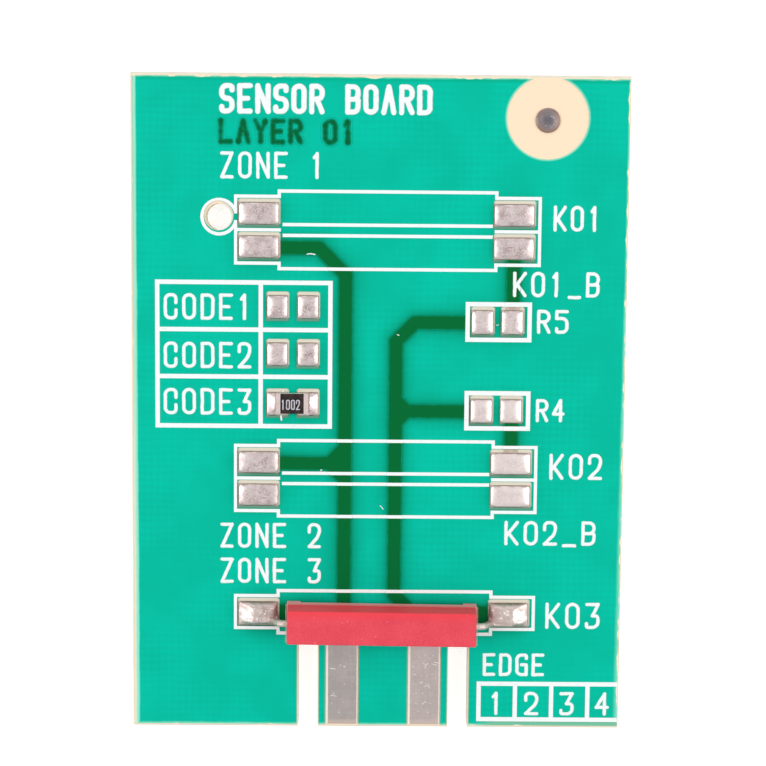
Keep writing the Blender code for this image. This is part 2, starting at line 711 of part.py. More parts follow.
def load_box(left, right):
    """The box round one pair of load pads."""
    ink = Print(BOX_LINE)
    x = (left.x + right.x) / 2 + PRINT_SHIFT_X
    y = left.y + PRINT_SHIFT_Y
    half_x, half_y = LOAD_BOX_LENGTH / 2, LOAD_BOX_WIDTH / 2
    x0, x1, y0, y1 = x - half_x, x + half_x, y - half_y, y + half_y
    ink.line((x0, y0), (x1, y0), (x1, y1), (x0, y1), (x0, y0))
    return ink


def connector_boxes():
    """A row of boxes beside the tongue; the last one runs off the board's edge."""
    ink = Print(BOX_LINE)
    bottom = BOTTOM_EDGE + CONNECTOR_UP
    top = bottom + CONNECTOR_HEIGHT
    right = CONNECTOR_LEFT + CONNECTOR_CELLS * CONNECTOR_CELL
    for level in (bottom, top):
        ink.line((CONNECTOR_LEFT, level), (right, level))
    for cell in range(CONNECTOR_CELLS):
        x = CONNECTOR_LEFT + cell * CONNECTOR_CELL
        ink.line((x, bottom), (x, top))
    return ink


def build_print(all_nets, pads, openings, parts, cutters):
    """The white outlines that are printed over the mask."""
    skin = ink_skin(all_nets, openings, cutters)
    white = material("white ink", WHITE, 0.5)
    pair_outline("ink_reed_1", (ROW_1A, ROW_1B), skin, parts, white, hole=hole_centre())
    pair_outline("ink_reed_2", (ROW_2A, ROW_2B), skin, parts, white)
    beside_slots = TONGUE_WIDTH / 2 + SLOT_WIDTH + PRINT_LINE
    ink, left, right, top, bottom = reed_outline((ROW_3,), PRINT_3_SHIFT_Y,
                                                 (FINGERS_X - beside_slots, FINGERS_X + beside_slots))
    for x in (left, right):
        ink.line((x, top), (x, bottom))
    outlines = {"ink_reed_3": ink, "ink_code_table": code_table(pads), "ink_connector": connector_boxes()}
    for name in ("load_1", "load_2"):
        outlines[f"ink_{name}"] = load_box(pads[f"{name}_left"], pads[f"{name}_right"])
    for name, ink in outlines.items():
        boolean(joined(name, ink.shapes, parts, white), "INTERSECT", skin)


def pillow(x0, x1, y0, y1, z0, height, across=6, along=4):
    """A cushion of solder: a flat base, a short skirt and a crowned top."""
    shape = bmesh.new()
    half_x = (x1 - x0) / 2
    half_y = (y1 - y0) / 2
    bmesh.ops.create_grid(shape, x_segments=across, y_segments=along, size=1.0)
    for point in shape.verts:
        fall_x = 1.0 - abs(point.co.x) ** SOLDER_FLATNESS
        fall_y = 1.0 - abs(point.co.y) ** SOLDER_FLATNESS
        crown = math.sqrt(max(fall_x * fall_y, 0.0))
        round_in = 1.0 - SOLDER_ROUND_IN * (point.co.x * point.co.y) ** 2
        point.co.z = SOLDER_SKIRT + (height - SOLDER_SKIRT) * crown
        point.co.x *= half_x * round_in
        point.co.y *= half_y * round_in
    rim = [edge for edge in shape.edges if edge.is_boundary]
    skirt = bmesh.ops.extrude_edge_only(shape, edges=rim)["geom"]
    lowered = [item for item in skirt if isinstance(item, bmesh.types.BMVert)]
    for point in lowered:
        point.co.z = 0.0
    foot = [edge for edge in shape.edges if edge.is_boundary]
    bmesh.ops.holes_fill(shape, edges=foot, sides=len(foot))
    bmesh.ops.translate(shape, vec=((x0 + x1) / 2, (y0 + y1) / 2, z0), verts=shape.verts)
    return shape


def build_tin(pads, parts):
    """Solder cushions on the empty pads and flat tin on the fingers and the mark."""
    solder = material("solder", TIN, 0.3, 1.0)
    for pad in pads.values():
        if pad.name.startswith(("reed_3", "code_3")):
            continue
        finish(f"solder_{pad.name}", pillow(*pad.bare(), TIN_BASE, SOLDER_HEIGHT), parts, solder)
    for side, x in (("left", LEFT_FINGER), ("right", RIGHT_FINGER)):
        half = FINGER_WIDTH / 2 - LAYER_GAP
        top = FINGER_TOP - MASK_MARGIN - LAYER_GAP
        plate = box(x - half, x + half, FINGER_BOTTOM + LAYER_GAP, top, TIN_BASE, TIN_BASE + TIN_THICKNESS)
        finish(f"tin_finger_{side}", plate, parts, solder)
    cap = dome(*mark_centre(), MARK_DIAMETER / 2 - LAYER_GAP, TIN_BASE, SOLDER_HEIGHT)
    finish("tin_mark", cap, parts, solder)


def dome(x, y, radius, z0, height):
    """A low round cap of solder, turned about its upright axis."""
    shape = bmesh.new()
    points = []
    for step in range(DOME_STEPS + 1):
        angle = math.pi / 2 * step / DOME_STEPS
        level = SOLDER_SKIRT + (height - SOLDER_SKIRT) * math.cos(angle)
        points.append(shape.verts.new((radius * math.sin(angle), 0.0, level)))
    points.append(shape.verts.new((radius, 0.0, 0.0)))
    points.append(shape.verts.new((0.0, 0.0, 0.0)))
    outline = [shape.edges.new(pair) for pair in zip(points, points[1:])]
    bmesh.ops.spin(shape, geom=points + outline, cent=(0, 0, 0), axis=(0, 0, 1), angle=math.tau,
                   steps=ROUND_SIDES, use_merge=True)
    bmesh.ops.remove_doubles(shape, verts=shape.verts, dist=MERGE)
    bmesh.ops.translate(shape, vec=(x, y, z0), verts=shape.verts)
    return shape


def fillet(pad, side, chip_end, z0):
    """Solder at one end of the chip: a bed under it and a hollow slope up its end face."""
    x0, x1, y0, y1 = pad.bare()
    outer = x0 if side < 0 else x1
    inner = x1 if side < 0 else x0
    face = chip_end + side * LAYER_GAP
    run = abs(outer - face)
    slope = []
    for step in range(FILLET_STEPS + 1):
        share = 1 - math.cos(math.pi / 2 * step / FILLET_STEPS)
        slope.append((outer - side * run * share, SOLDER_SKIRT + FILLET_HEIGHT * share ** FILLET_HOLLOW))
    profile = [(outer, 0.0), *slope, (face, FILLET_BED), (inner, FILLET_BED), (inner, 0.0)]
    shape = bmesh.new()
    corners = [shape.verts.new((x, y0, z0 + up)) for x, up in profile]
    plate = shape.faces.new(corners)
    moved = bmesh.ops.extrude_face_region(shape, geom=[plate])["geom"]
    far = [item for item in moved if isinstance(item, bmesh.types.BMVert)]
    bmesh.ops.translate(shape, vec=(0.0, y1 - y0, 0.0), verts=far)
    return shape


def build_chip(pads, parts, cutters):
    """The chip resistor on code pair 3, with its solder."""
    left, right = pads["code_3_left"], pads["code_3_right"]
    x = (left.x + right.x) / 2
    y = left.y + CHIP_SHIFT_Y
    base = TIN_BASE + FILLET_BED + LAYER_GAP
    half_x, half_y = CHIP_LENGTH / 2, CHIP_WIDTH / 2
    core_low = base + CHIP_CAP_WALL + LAYER_GAP
    core_top = base + CHIP_HEIGHT - CHIP_CAP_WALL - LAYER_GAP
    inset = CHIP_CAP_WALL + LAYER_GAP
    ceramic = box(x - half_x + inset, x + half_x - inset, y - half_y, y + half_y, core_low, core_top)
    finish("chip_ceramic", ceramic, parts, material("alumina", CERAMIC, 0.5))
    glaze_half = half_x - CHIP_CAP_LENGTH - LAYER_GAP
    top = core_top + LAYER_GAP
    glaze = box(x - glaze_half, x + glaze_half, y - half_y, y + half_y, top, top + CHIP_GLAZE)
    finish("chip_glaze", glaze, parts, material("black glaze", BLACK, 0.35))
    plated = material("plated cap", TIN, 0.3, 1.0)
    solder = material("chip solder", TIN, 0.25, 1.0)
    for name, side, pad in (("left", -1, left), ("right", 1, right)):
        end = x + side * half_x
        inner = end - side * CHIP_CAP_LENGTH
        cap = box(min(end, inner), max(end, inner), y - half_y, y + half_y, base, base + CHIP_HEIGHT)
        made = finish(f"chip_cap_{name}", cap, parts, plated)
        depth = end - side * CHIP_CAP_WALL
        far = inner - side * CHIP_CAP_LENGTH
        room = box(min(depth, far), max(depth, far), y - 2 * half_y, y + 2 * half_y,
                   base + CHIP_CAP_WALL, base + CHIP_HEIGHT - CHIP_CAP_WALL)
        boolean(made, "DIFFERENCE", as_cutter(finish(f"chip room {name}", room, cutters)))
        finish(f"solder_code_3_{name}", fillet(pad, side, end, TIN_BASE), parts, solder)


def turned(profile, sides):
    """Turn a list of (along, radius) points about the X axis; it starts and ends on its own first ring."""
    shape = bmesh.new()
    points = [shape.verts.new((along, 0.0, radius)) for along, radius in profile]
    outline = [shape.edges.new(pair) for pair in zip(points, points[1:] + points[:1])]
    bmesh.ops.spin(shape, geom=points + outline, cent=(0, 0, 0), axis=(1, 0, 0), angle=math.tau, steps=sides,
                   use_merge=True)
    bmesh.ops.remove_doubles(shape, verts=shape.verts, dist=MERGE)
    return shape


def glass_outside(grow):
    """Half profile of the capsule's outside, from its left seal to its right one."""
    radius = GLASS_DIAMETER / 2 + grow
    half = GLASS_LENGTH / 2 + grow
    seal = WIRE_DIAMETER / 2 + LAYER_GAP
    swell = radius - seal
    quarter = [math.pi / 2 * (step + 1) / GLASS_END_STEPS for step in range(GLASS_END_STEPS)]
    left = [(-half + swell * (1 - math.cos(angle)), seal + swell * math.sin(angle)) for angle in quarter]
    right = [(-along, up) for along, up in reversed(left)]
    return left + right


def build_glass(parts, centre):
    """The sealed glass capsule, with a bore in each end that its wire passes through."""
    bore = WIRE_DIAMETER / 2 + LAYER_GAP
    half = GLASS_LENGTH / 2
    room = half - GLASS_SEAL
    inner = GLASS_DIAMETER / 2 - GLASS_WALL
    profile = [(-half, bore), *glass_outside(0.0), (half, bore), (room, bore), (room - inner / 2, inner),
               (-room + inner / 2, inner), (-room, bore)]
    made = finish("reed_glass", turned(profile, TURNED_SIDES), parts, material("capsule glass", CLEAR, 0.05))
    made.parent = centre
    return made


def ring(shape, centre, direction, half_width, half_height, squareness, sides):
    """One section of a swept bar; squareness 2 is an ellipse and more is nearer a rectangle."""
    side = Vector((0.0, 1.0, 0.0))
    up = direction.cross(side).normalized() * -1.0
    points = []
    for step in range(sides):
        angle = math.tau * (step + 0.5) / sides
        across = math.copysign(abs(math.cos(angle)) ** (ROUND / squareness), math.cos(angle))
        climb = math.copysign(abs(math.sin(angle)) ** (ROUND / squareness), math.sin(angle))
        points.append(shape.verts.new(centre + side * half_width * across + up * half_height * climb))
    return [shape.edges.new(pair) for pair in zip(points, points[1:] + points[:1])], points


def swept(stations, sides=WIRE_SIDES):
    """A bar lofted through its stations: (point, direction, half width, half height, squareness)."""
    shape = bmesh.new()
    rings = [ring(shape, *station, sides) for station in stations]
    for (edges_a, _), (edges_b, _) in zip(rings, rings[1:]):
        bmesh.ops.bridge_loops(shape, edges=edges_a + edges_b)
    for _, points in (rings[0], rings[-1]):
        shape.faces.new(points)
    return shape


def wire_path():
    """Points of the lead in the switch's own frame, from inside the body out to the end of its foot."""
    radius = WIRE_DIAMETER / 2
    foot_level = TIN_BASE + WIRE_BED + LAYER_GAP + radius - AXIS_LEVEL
    foot_end = BODY_LENGTH / 2 + WIRE_REACH + WIRE_FOOT_PAST_PAD
    heel = foot_end - WIRE_FOOT
    knee = heel - WIRE_DROP_RUN
    corners = [Vector((knee, 0.0, 0.0)), Vector((heel, 0.0, foot_level))]
    start = Vector((GLASS_LENGTH / 2, 0.0, 0.0))
    end = Vector((foot_end, 0.0, foot_level))
    return rounded_path([start, *corners, end], WIRE_BEND)


def rounded_path(points, tangent):
    """Replace each inner corner of a path by the start, middle and end of an arc that begins tangent away."""
    path = [points[0]]
    for before, corner, after in zip(points, points[1:], points[2:]):
        towards = (before - corner).normalized()
        away = (after - corner).normalized()
        half_turn = away.angle(-towards) / 2
        short_cut = tangent / math.tan(half_turn) * (1 / math.cos(half_turn) - 1)
        path.append(corner + towards * tangent)
        path.append(corner + (towards + away).normalized() * short_cut)
        path.append(corner + away * tangent)
    path.append(points[-1])
    return path


def wire_stations(side, grow=0.0):
    """Sections of the round wire from the glass seal to the end of the foot, on one side."""
    path = [Vector((side * point.x, point.y, point.z)) for point in wire_path()]
    radius = WIRE_DIAMETER / 2 + grow
    path[-1] += Vector((side * grow, 0.0, 0.0))
    stations = []
    for number, point in enumerate(path):
        before = path[max(number - 1, 0)]
        after = path[min(number + 1, len(path) - 1)]
        stations.append((point, (after - before).normalized(), radius, radius, ROUND))
    return stations


def reed_shape(side):
    """One reed: a flat blade, its neck in the seal and the round wire that leaves the body."""
    offset = side * (BLADE_GAP + BLADE_THICKNESS) / 2
    along = Vector((side, 0.0, 0.0))
    tip = -side * BLADE_OVERLAP / 2
    neck_end = side * (GLASS_LENGTH / 2 - GLASS_SEAL)
    neck_start = neck_end - side * BLADE_NECK
    radius = WIRE_DIAMETER / 2
    blade = (BLADE_WIDTH / 2, BLADE_THICKNESS / 2, FLAT)
    stations = [(Vector((tip, 0.0, offset)), along, *blade),
                (Vector((neck_start, 0.0, offset)), along, *blade),
                (Vector((neck_end, 0.0, 0.0)), along, radius, radius, ROUND), *wire_stations(side)]
    return swept(stations)


def build_moulding(parts, cutters, centre):
    """The red moulded body: drafted from its parting line, on two end feet, with room for the capsule."""
    half_x, half_y = BODY_LENGTH / 2, BODY_WIDTH / 2
    low, high = -AXIS_HEIGHT, BODY_HEIGHT - AXIS_HEIGHT
    shape = box(-half_x, half_x, -half_y, half_y, low, high)
    geometry = shape.verts[:] + shape.edges[:] + shape.faces[:]
    bmesh.ops.bisect_plane(shape, geom=geometry, plane_co=(0, 0, 0), plane_no=(0, 0, 1))
    for corner in shape.verts:
        draft = 0.0
        if corner.co.z > high / 2:
            draft = BODY_DRAFT_TOP
        elif corner.co.z < low / 2:
            draft = BODY_DRAFT_BOTTOM
        corner.co.x -= math.copysign(draft, corner.co.x)
        corner.co.y -= math.copysign(draft, corner.co.y)
    rounded = [edge for edge in shape.edges if abs(rise(edge)) > LAYER_GAP or edge.verts[0].co.z > high / 2]
    bmesh.ops.bevel(shape, geom=rounded, offset=BODY_EDGE, segments=BODY_SEGMENTS, affect="EDGES",
                    profile=0.5)
    made = finish("reed_moulding", shape, parts, material("red moulding", RED, 0.5))
    made.parent = centre
    under = box(-half_x + FOOT_LENGTH, half_x - FOOT_LENGTH, -BODY_WIDTH, BODY_WIDTH, low - FOOT_HEIGHT,
                low + FOOT_HEIGHT)
    room = as_cutter(finish("moulding underside", under, cutters))
    room.parent = centre
    boolean(made, "DIFFERENCE", room)
    bore = WIRE_DIAMETER / 2 + LAYER_GAP
    far = half_x + BODY_WIDTH
    profile = [(-far, 0.0), (-far, bore), (-GLASS_LENGTH / 2 - LAYER_GAP, bore), *glass_outside(LAYER_GAP),
               (GLASS_LENGTH / 2 + LAYER_GAP, bore), (far, bore), (far, 0.0)]
    hollow = as_cutter(finish("moulding hollow", turned(profile, TURNED_SIDES), cutters))
    hollow.parent = centre
    boolean(made, "DIFFERENCE", hollow)
    return made


def build_reed_switch(pads, parts, cutters):
    """The moulded reed switch on reed place 3, with its soldered leads."""
    centre = bpy.data.objects.new("reed_switch_centre", None)
    parts.objects.link(centre)
    centre.location = ((LEFT_COLUMN + RIGHT_COLUMN) / 2 + REED_SHIFT_X, ROW_3 + REED_SHIFT_Y, AXIS_LEVEL)
    centre.rotation_euler = (0.0, 0.0, REED_TURN)
    build_moulding(parts, cutters, centre)
    build_glass(parts, centre)
    alloy = material("nickel iron", NICKEL, 0.3, 1.0)
    joint = material("lead solder", TIN, 0.28, 1.0)
    for name, side in (("left", -1), ("right", 1)):
        reed = finish(f"reed_blade_{name}", reed_shape(side), parts, alloy)
        reed.parent = centre
        clear = as_cutter(finish(f"lead clearance {name}", swept(wire_stations(side, LAYER_GAP)), cutters))
        clear.parent = centre
        pad = pads[f"reed_3_{name}"]
        mound = pillow(*pad.bare(), TIN_BASE, JOINT_HEIGHT, across=10, along=8)
        solder = finish(f"solder_reed_3_{name}", mound, parts, joint)
        boolean(solder, "DIFFERENCE", clear)


def main():
    """Build every piece of the board."""
    clear_scene()
    parts = new_collection("reed switch sensor board")
    cutters = new_collection("cutters", hidden=True)
    pads = {**reed_pads(), **code_pads(), **load_pads()}
    all_nets = nets(pads)
    openings = mask_openings(pads)
    build_laminate(parts)
    build_copper(all_nets, parts)
    build_mask(all_nets, openings, parts)
    build_print(all_nets, pads, openings, parts, cutters)
    build_tin(pads, parts)
    build_chip(pads, parts, cutters)
    build_reed_switch(pads, parts, cutters)


main()
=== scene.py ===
"""Dress the reed switch sensor board for its picture.

The board lies on its bare side on a white table. Every length in this file is in millimetres, in the frame
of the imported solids, until a mesh or a lamp is made from it. Colours are as a screen shows them.
"""

import json
import logging
import math
from dataclasses import dataclass, field, replace
from enum import Enum
from functools import partialmethod, reduce
from itertools import pairwise
from typing import NamedTuple

import bmesh
import bpy
from bmesh.types import BMesh, BMVert
from bpy.types import Material
from mathutils import Euler, Matrix, Vector, noise
from mathutils.bvhtree import BVHTree


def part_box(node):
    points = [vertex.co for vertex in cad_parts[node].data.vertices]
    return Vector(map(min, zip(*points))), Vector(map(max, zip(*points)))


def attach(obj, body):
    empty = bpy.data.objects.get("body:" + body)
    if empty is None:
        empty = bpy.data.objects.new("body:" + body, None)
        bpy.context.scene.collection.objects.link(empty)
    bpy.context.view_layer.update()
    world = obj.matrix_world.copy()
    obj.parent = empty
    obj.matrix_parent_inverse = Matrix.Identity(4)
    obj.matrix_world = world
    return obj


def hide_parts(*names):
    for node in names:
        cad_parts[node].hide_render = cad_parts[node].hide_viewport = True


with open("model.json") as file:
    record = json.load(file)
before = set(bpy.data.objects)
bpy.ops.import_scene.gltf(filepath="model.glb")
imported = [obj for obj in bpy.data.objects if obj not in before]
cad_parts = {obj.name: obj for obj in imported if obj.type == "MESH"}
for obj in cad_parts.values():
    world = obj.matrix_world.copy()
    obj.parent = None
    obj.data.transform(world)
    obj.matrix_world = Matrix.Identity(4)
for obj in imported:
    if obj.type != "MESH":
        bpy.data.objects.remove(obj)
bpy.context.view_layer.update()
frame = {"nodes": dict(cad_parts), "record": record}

LOG = logging.getLogger("sensor_board")
MM = 0.001
BODY = "root"
PAD_PLACE = "pad_place"
NOISE_SEED = 11
ACROSS, UP, OUT = (1, 0, 0), (0, 1, 0), (0, 0, 1)

Colour = tuple[int, int, int]
Triple = tuple[float, float, float]
Place = tuple[float, float]
Pair = tuple[float, float]
Dots = list[tuple[Vector, float]]
Sockets = dict[int | str, object]


class Slot(Enum):
    """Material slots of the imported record."""

    LAMINATE = "glass_epoxy"
    MASK = "green_mask"
    COPPER = "copper_foil"
    TIN = "tinned_pad"
    JOINT = "solder_joint"
    CAP = "plated_cap"
    CERAMIC = "alumina"
    GLAZE = "black_glaze"
    CAPSULE = "capsule_glass"
    REED = "nickel_iron"
    INK = "white_ink"
    MOULDING = "red_moulding"


def linear(colour: Colour) -> Triple:
    """Turn a colour as a screen shows it, from 0 to 255, into scene-linear light."""
    parts = [value / 255 for value in colour]
    return tuple(part / 12.92 if part <= 0.04045 else ((part + 0.055) / 1.055) ** 2.4 for part in parts)


def held(value: float) -> float:
    """A value kept between 0 and 1."""
    return max(0.0, min(1.0, value))


def flat(places: tuple[Place, ...]) -> list[Vector]:
    """Places in plan as points in the plane of the board's underside."""
    return [Vector((*place, 0.0)) for place in places]


def span(node: str) -> tuple[Vector, Vector]:
    """Lowest and highest corners of a node, in millimetres."""
    low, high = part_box(node)
    return Vector(low) / MM, Vector(high) / MM


def put(name: str, data: bpy.types.ID) -> bpy.types.Object:
    """Put an object into the scene.

    Args:
        name: The object's name.
        data: Its mesh, curve, light or camera.

    Returns:
        The new object.
    """
    thing = bpy.data.objects.new(name, data)
    bpy.context.scene.collection.objects.link(thing)
    return thing


def mesh_of(name: str, form: BMesh) -> bpy.types.Mesh:
    """Turn a form into a mesh.

    Args:
        name: The mesh's name.
        form: The form, which is freed.

    Returns:
        The mesh.
    """
    mesh = bpy.data.meshes.new(name)
    form.to_mesh(mesh)
    form.free()
    return mesh


@dataclass(frozen=True)
class Run:
    """A straight run of track, by its two ends in plan and its width."""

    start: Place
    end: Place
    width: float = 0.82


class Wire:
    """A shader socket that takes part in Python sums."""

    def __init__(self, graph: "Graph", socket: bpy.types.NodeSocket) -> None:
        """Hold a socket and the graph it is in."""
        self.graph = graph
        self.socket = socket

    def maths(self, operation: str, other: "Wire | float" = 0.0) -> "Wire":
        """Math node of this value and another."""
        return self.graph.add("ShaderNodeMath", {0: self, 1: other}, operation=operation)

    def turned(self, operation: str, other: float) -> "Wire":
        """Math node of a number and this value, in that order."""
        return self.graph.add("ShaderNodeMath", {0: other, 1: self}, operation=operation)

    __add__ = partialmethod(maths, "ADD")
    __radd__ = partialmethod(turned, "ADD")
    __sub__ = partialmethod(maths, "SUBTRACT")
    __rsub__ = partialmethod(turned, "SUBTRACT")
    __mul__ = partialmethod(maths, "MULTIPLY")
    __truediv__ = partialmethod(maths, "DIVIDE")
    size = partialmethod(maths, "ABSOLUTE")
    least = partialmethod(maths, "MINIMUM")
    most = partialmethod(maths, "MAXIMUM")
    power = partialmethod(maths, "POWER")

    def fading(self, length: float) -> "Wire":
        """Fall from 1 towards 0, to about a third over this growth of the value."""
        return (self * (-1 / length)).maths("EXPONENT")

    def stepped(self, low: float, high: float) -> "Wire":
        """Rise smoothly from 0 at one value to 1 at another."""
        sockets = {0: self, 1: low, 2: high}
        return self.graph.add("ShaderNodeMapRange", sockets, interpolation_type="SMOOTHSTEP")


class Graph:
    """The node tree of one material, or of the world."""

    def __init__(self, name: str, world: bpy.types.World | None = None) -> None:
        """Start an empty tree.

        Args:
            name: The material's name.
            world: The world, where the tree isn't a material's.
        """
        self.owner = world or bpy.data.materials.new(name)
        self.owner.use_nodes = True
        self.tree = self.owner.node_tree
        self.tree.nodes.clear()

    def add(self, kind: str, sockets: Sockets | None = None, out: int | str = 0, **settings: object) -> Wire:
        """Add a node.

        Args:
            kind: The node's type.
            sockets: A value or a wire for each named or numbered input.
            out: The output that is wanted.
            **settings: The node's own settings, set before its sockets.

        Returns:
            The wanted output.
        """
        node = self.tree.nodes.new(kind)
        for name, value in settings.items():
            setattr(node, name, value)
        for name, value in (sockets or {}).items():
            if isinstance(value, Wire):
                self.tree.links.new(value.socket, node.inputs[name])
            else:
                node.inputs[name].default_value = value
        return Wire(self, node.outputs[out])

    def vector(self, operation: str, first: object, second: object, out: int | str = "Value") -> Wire:
        """Vector Math node of two vectors, for its value or its vector."""
        return self.add("ShaderNodeVectorMath", {0: first, 1: second}, out, operation=operation)

    def place(self, stretch: Triple = (1, 1, 1)) -> Wire:
        """Object coordinates, in metres, times a factor along each axis."""
        return self.vector("MULTIPLY", self.add("ShaderNodeTexCoord", out="Object"), stretch, "Vector")

    def plan(self) -> Wire:
        """Place in plan, in millimetres."""
        return self.place((1 / MM, 1 / MM, 0))

    def along(self, way: Triple) -> Wire:
        """Place along a direction of length 1, in millimetres."""
        return self.vector("DOT_PRODUCT", self.place(), way) * (1 / MM)

    def reach(self, x: float, y: float) -> Wire:
        """Distance in plan from a place on the board, in millimetres."""
        return self.vector("DISTANCE", self.plan(), (x, y, 0))

    def noise(self, size: float, detail: float = 2.0, stretch: Triple = (1, 1, 1)) -> Wire:
        """Soft noise from 0 to 1, in patches of this size."""
        sockets = {"Vector": self.place(stretch), "Scale": 1 / (size * MM), "Detail": detail}
        return self.add("ShaderNodeTexNoise", sockets, "Fac")

    def cells(self, size: float) -> Wire:
        """Distance to the nearest of many points that are scattered this far apart."""
        sockets = {"Vector": self.place(), "Scale": 1 / (size * MM)}
        return self.add("ShaderNodeTexVoronoi", sockets, "Distance")

    def apart(self, plan: Wire, run: Run) -> Wire:
        """Distance in plan from the edge of a run of track, which is below 0 on the track.

        Args:
            plan: Place in plan, in millimetres.
            run: The run.

        Returns:
            The distance in millimetres.
        """
        start, end = flat((run.start, run.end))
        way = end - start
        offset = self.vector("SUBTRACT", plan, tuple(start), "Vector")
        share = self.vector("DOT_PRODUCT", offset, tuple(way / way.length_squared))
        inside = self.add("ShaderNodeClamp", {"Value": share})
        nearest = self.add("ShaderNodeVectorMath", {0: tuple(way), "Scale": inside}, operation="SCALE")
        return self.vector("DISTANCE", offset, nearest) - run.width / 2

    def mix(self, share: Wire | float, first: Wire | Colour, second: Wire | Colour) -> Wire:
        """Mix two colours by the share of the second."""
        first, second = (end if isinstance(end, Wire) else (*linear(end), 1.0) for end in (first, second))
        return self.add("ShaderNodeMix", {0: share, 6: first, 7: second}, 2, data_type="RGBA")

    def bump(self, height: Wire, depth: float) -> Wire:
        """Turn a height from 0 to 1 into a slope of the surface, a full step being this deep."""
        return self.add("ShaderNodeBump", {"Strength": 1.0, "Distance": depth * MM, "Height": height})

    def finish(self, **sockets: object) -> Material:
        """End the graph in a Principled shader, whose sockets have underscores for their spaces."""
        named = {name.replace("_", " "): value for name, value in sockets.items()}
        return self.end(self.add("ShaderNodeBsdfPrincipled", named))

    def end(self, shader: Wire, kind: str = "ShaderNodeOutputMaterial") -> Material:
        """End the graph in a shader of its own."""
        self.tree.links.new(shader.socket, self.tree.nodes.new(kind).inputs["Surface"])
        return self.owner

    def seen(self) -> Wire:
        """A value of 1 for rays that show the backdrop: the camera's, and those off metal or in glass."""
        kinds = ("Camera", "Glossy", "Transmission")
        return reduce(Wire.most, [self.add("ShaderNodeLightPath", out=f"Is {kind} Ray") for kind in kinds])


@dataclass(frozen=True)
class TrackShade:
    """Dark of the tracks under the mask, and the soft shade that they throw into the laminate beside them."""

    west: float = -7.315
    east: float = 8.125
    left: float = -2.04
    right: float = 1.04
    row_1b: float = 9.63
    row_2a: float = -3.50
    row_3: float = -12.91
    load_2: float = 5.165
    load_1: float = -0.255
    load_pad: float = 6.28
    left_elbow: float = 1.61
    right_elbow: float = 1.16
    left_flare: float = 0.94
    right_flare: float = 0.69
    jog: float = 1.30
    wide: float = 1.20
    spread: float = 0.42
    step: float = 0.34
    pad_shade: float = 0.40

    def runs(self) -> list[Run]:
        """Every run of track that the mask covers.

        Returns:
            The runs.
        """
        left, right, elbow = self.left, self.right, self.right_elbow
        corner = (left - self.left_elbow, self.row_1b), (left, self.row_1b - self.left_elbow)
        bend = (right + elbow, self.load_2), (right, self.load_2 - elbow)
        jog = (right + self.jog, self.row_3)
        routes = [
            ((self.west, self.row_1b), *corner, (left, self.row_3)),
            ((self.west, self.row_2a), (left, self.row_2a)),
            ((self.load_pad, self.load_2), *bend, (right, self.row_3 + self.jog), jog),
            ((self.load_pad, self.load_1), (right, self.load_1)),
            ((self.east, self.row_1b), (self.east, self.load_2)),
            ((self.east, self.load_1), (self.east, self.row_2a)),
        ]
        for side in (-1, 1):
            foot, head = self.row_2a + side * self.left_flare, self.load_1 + side * self.right_flare
            routes.append(((left - self.left_flare, self.row_2a), (left, foot)))
            routes.append(((right + self.right_flare, self.load_1), (right, head)))
        wide = [((self.west, self.row_3), (left, self.row_3)), (jog, (self.east, self.row_3))]
        runs = [Run(*ends) for route in routes for ends in pairwise(route)]
        return runs + [Run(*ends, self.wide) for ends in wide]

    @staticmethod
    def pads() -> list[Run]:
        """A run along the middle of every soldered pad, read from the pads' solder.

        Returns:
            The runs.
        """
        runs = []
        for name in frame["nodes"]:
            if name.startswith("solder_") and name != "solder_mask":
                low, high = span(name)
                centre, half = (low + high).to_2d() / 2, (high - low).to_2d() / 2
                reach = half.x - half.y
                way = Vector((reach, 0)) if reach > 0 else Vector((0, -reach))
                runs.append(Run(tuple(centre - way), tuple(centre + way), 2 * min(half)))
        return runs

    @staticmethod
    def nearest(graph: Graph, runs: list[Run]) -> Wire:
        """Distance in plan from the edge of the nearest run, in millimetres."""
        plan = graph.plan()
        return reduce(Wire.least, [graph.apart(plan, run) for run in runs])

    def share(self, graph: Graph) -> Wire:
        """Share of the tracks' dark at a place, from 0 to 1."""
        edge = self.nearest(graph, self.runs()) + (graph.noise(0.5, 2.0) - 0.5) * 0.08
        return edge.most(0.0).fading(self.spread) * (1 - edge.stepped(-0.09, 0.07) * self.step)

    def halo(self, graph: Graph) -> Wire:
        """Share of the weaker shade round every pad, from 0 to 1."""
        return self.nearest(graph, self.pads()).most(0.0).fading(self.spread) * self.pad_shade


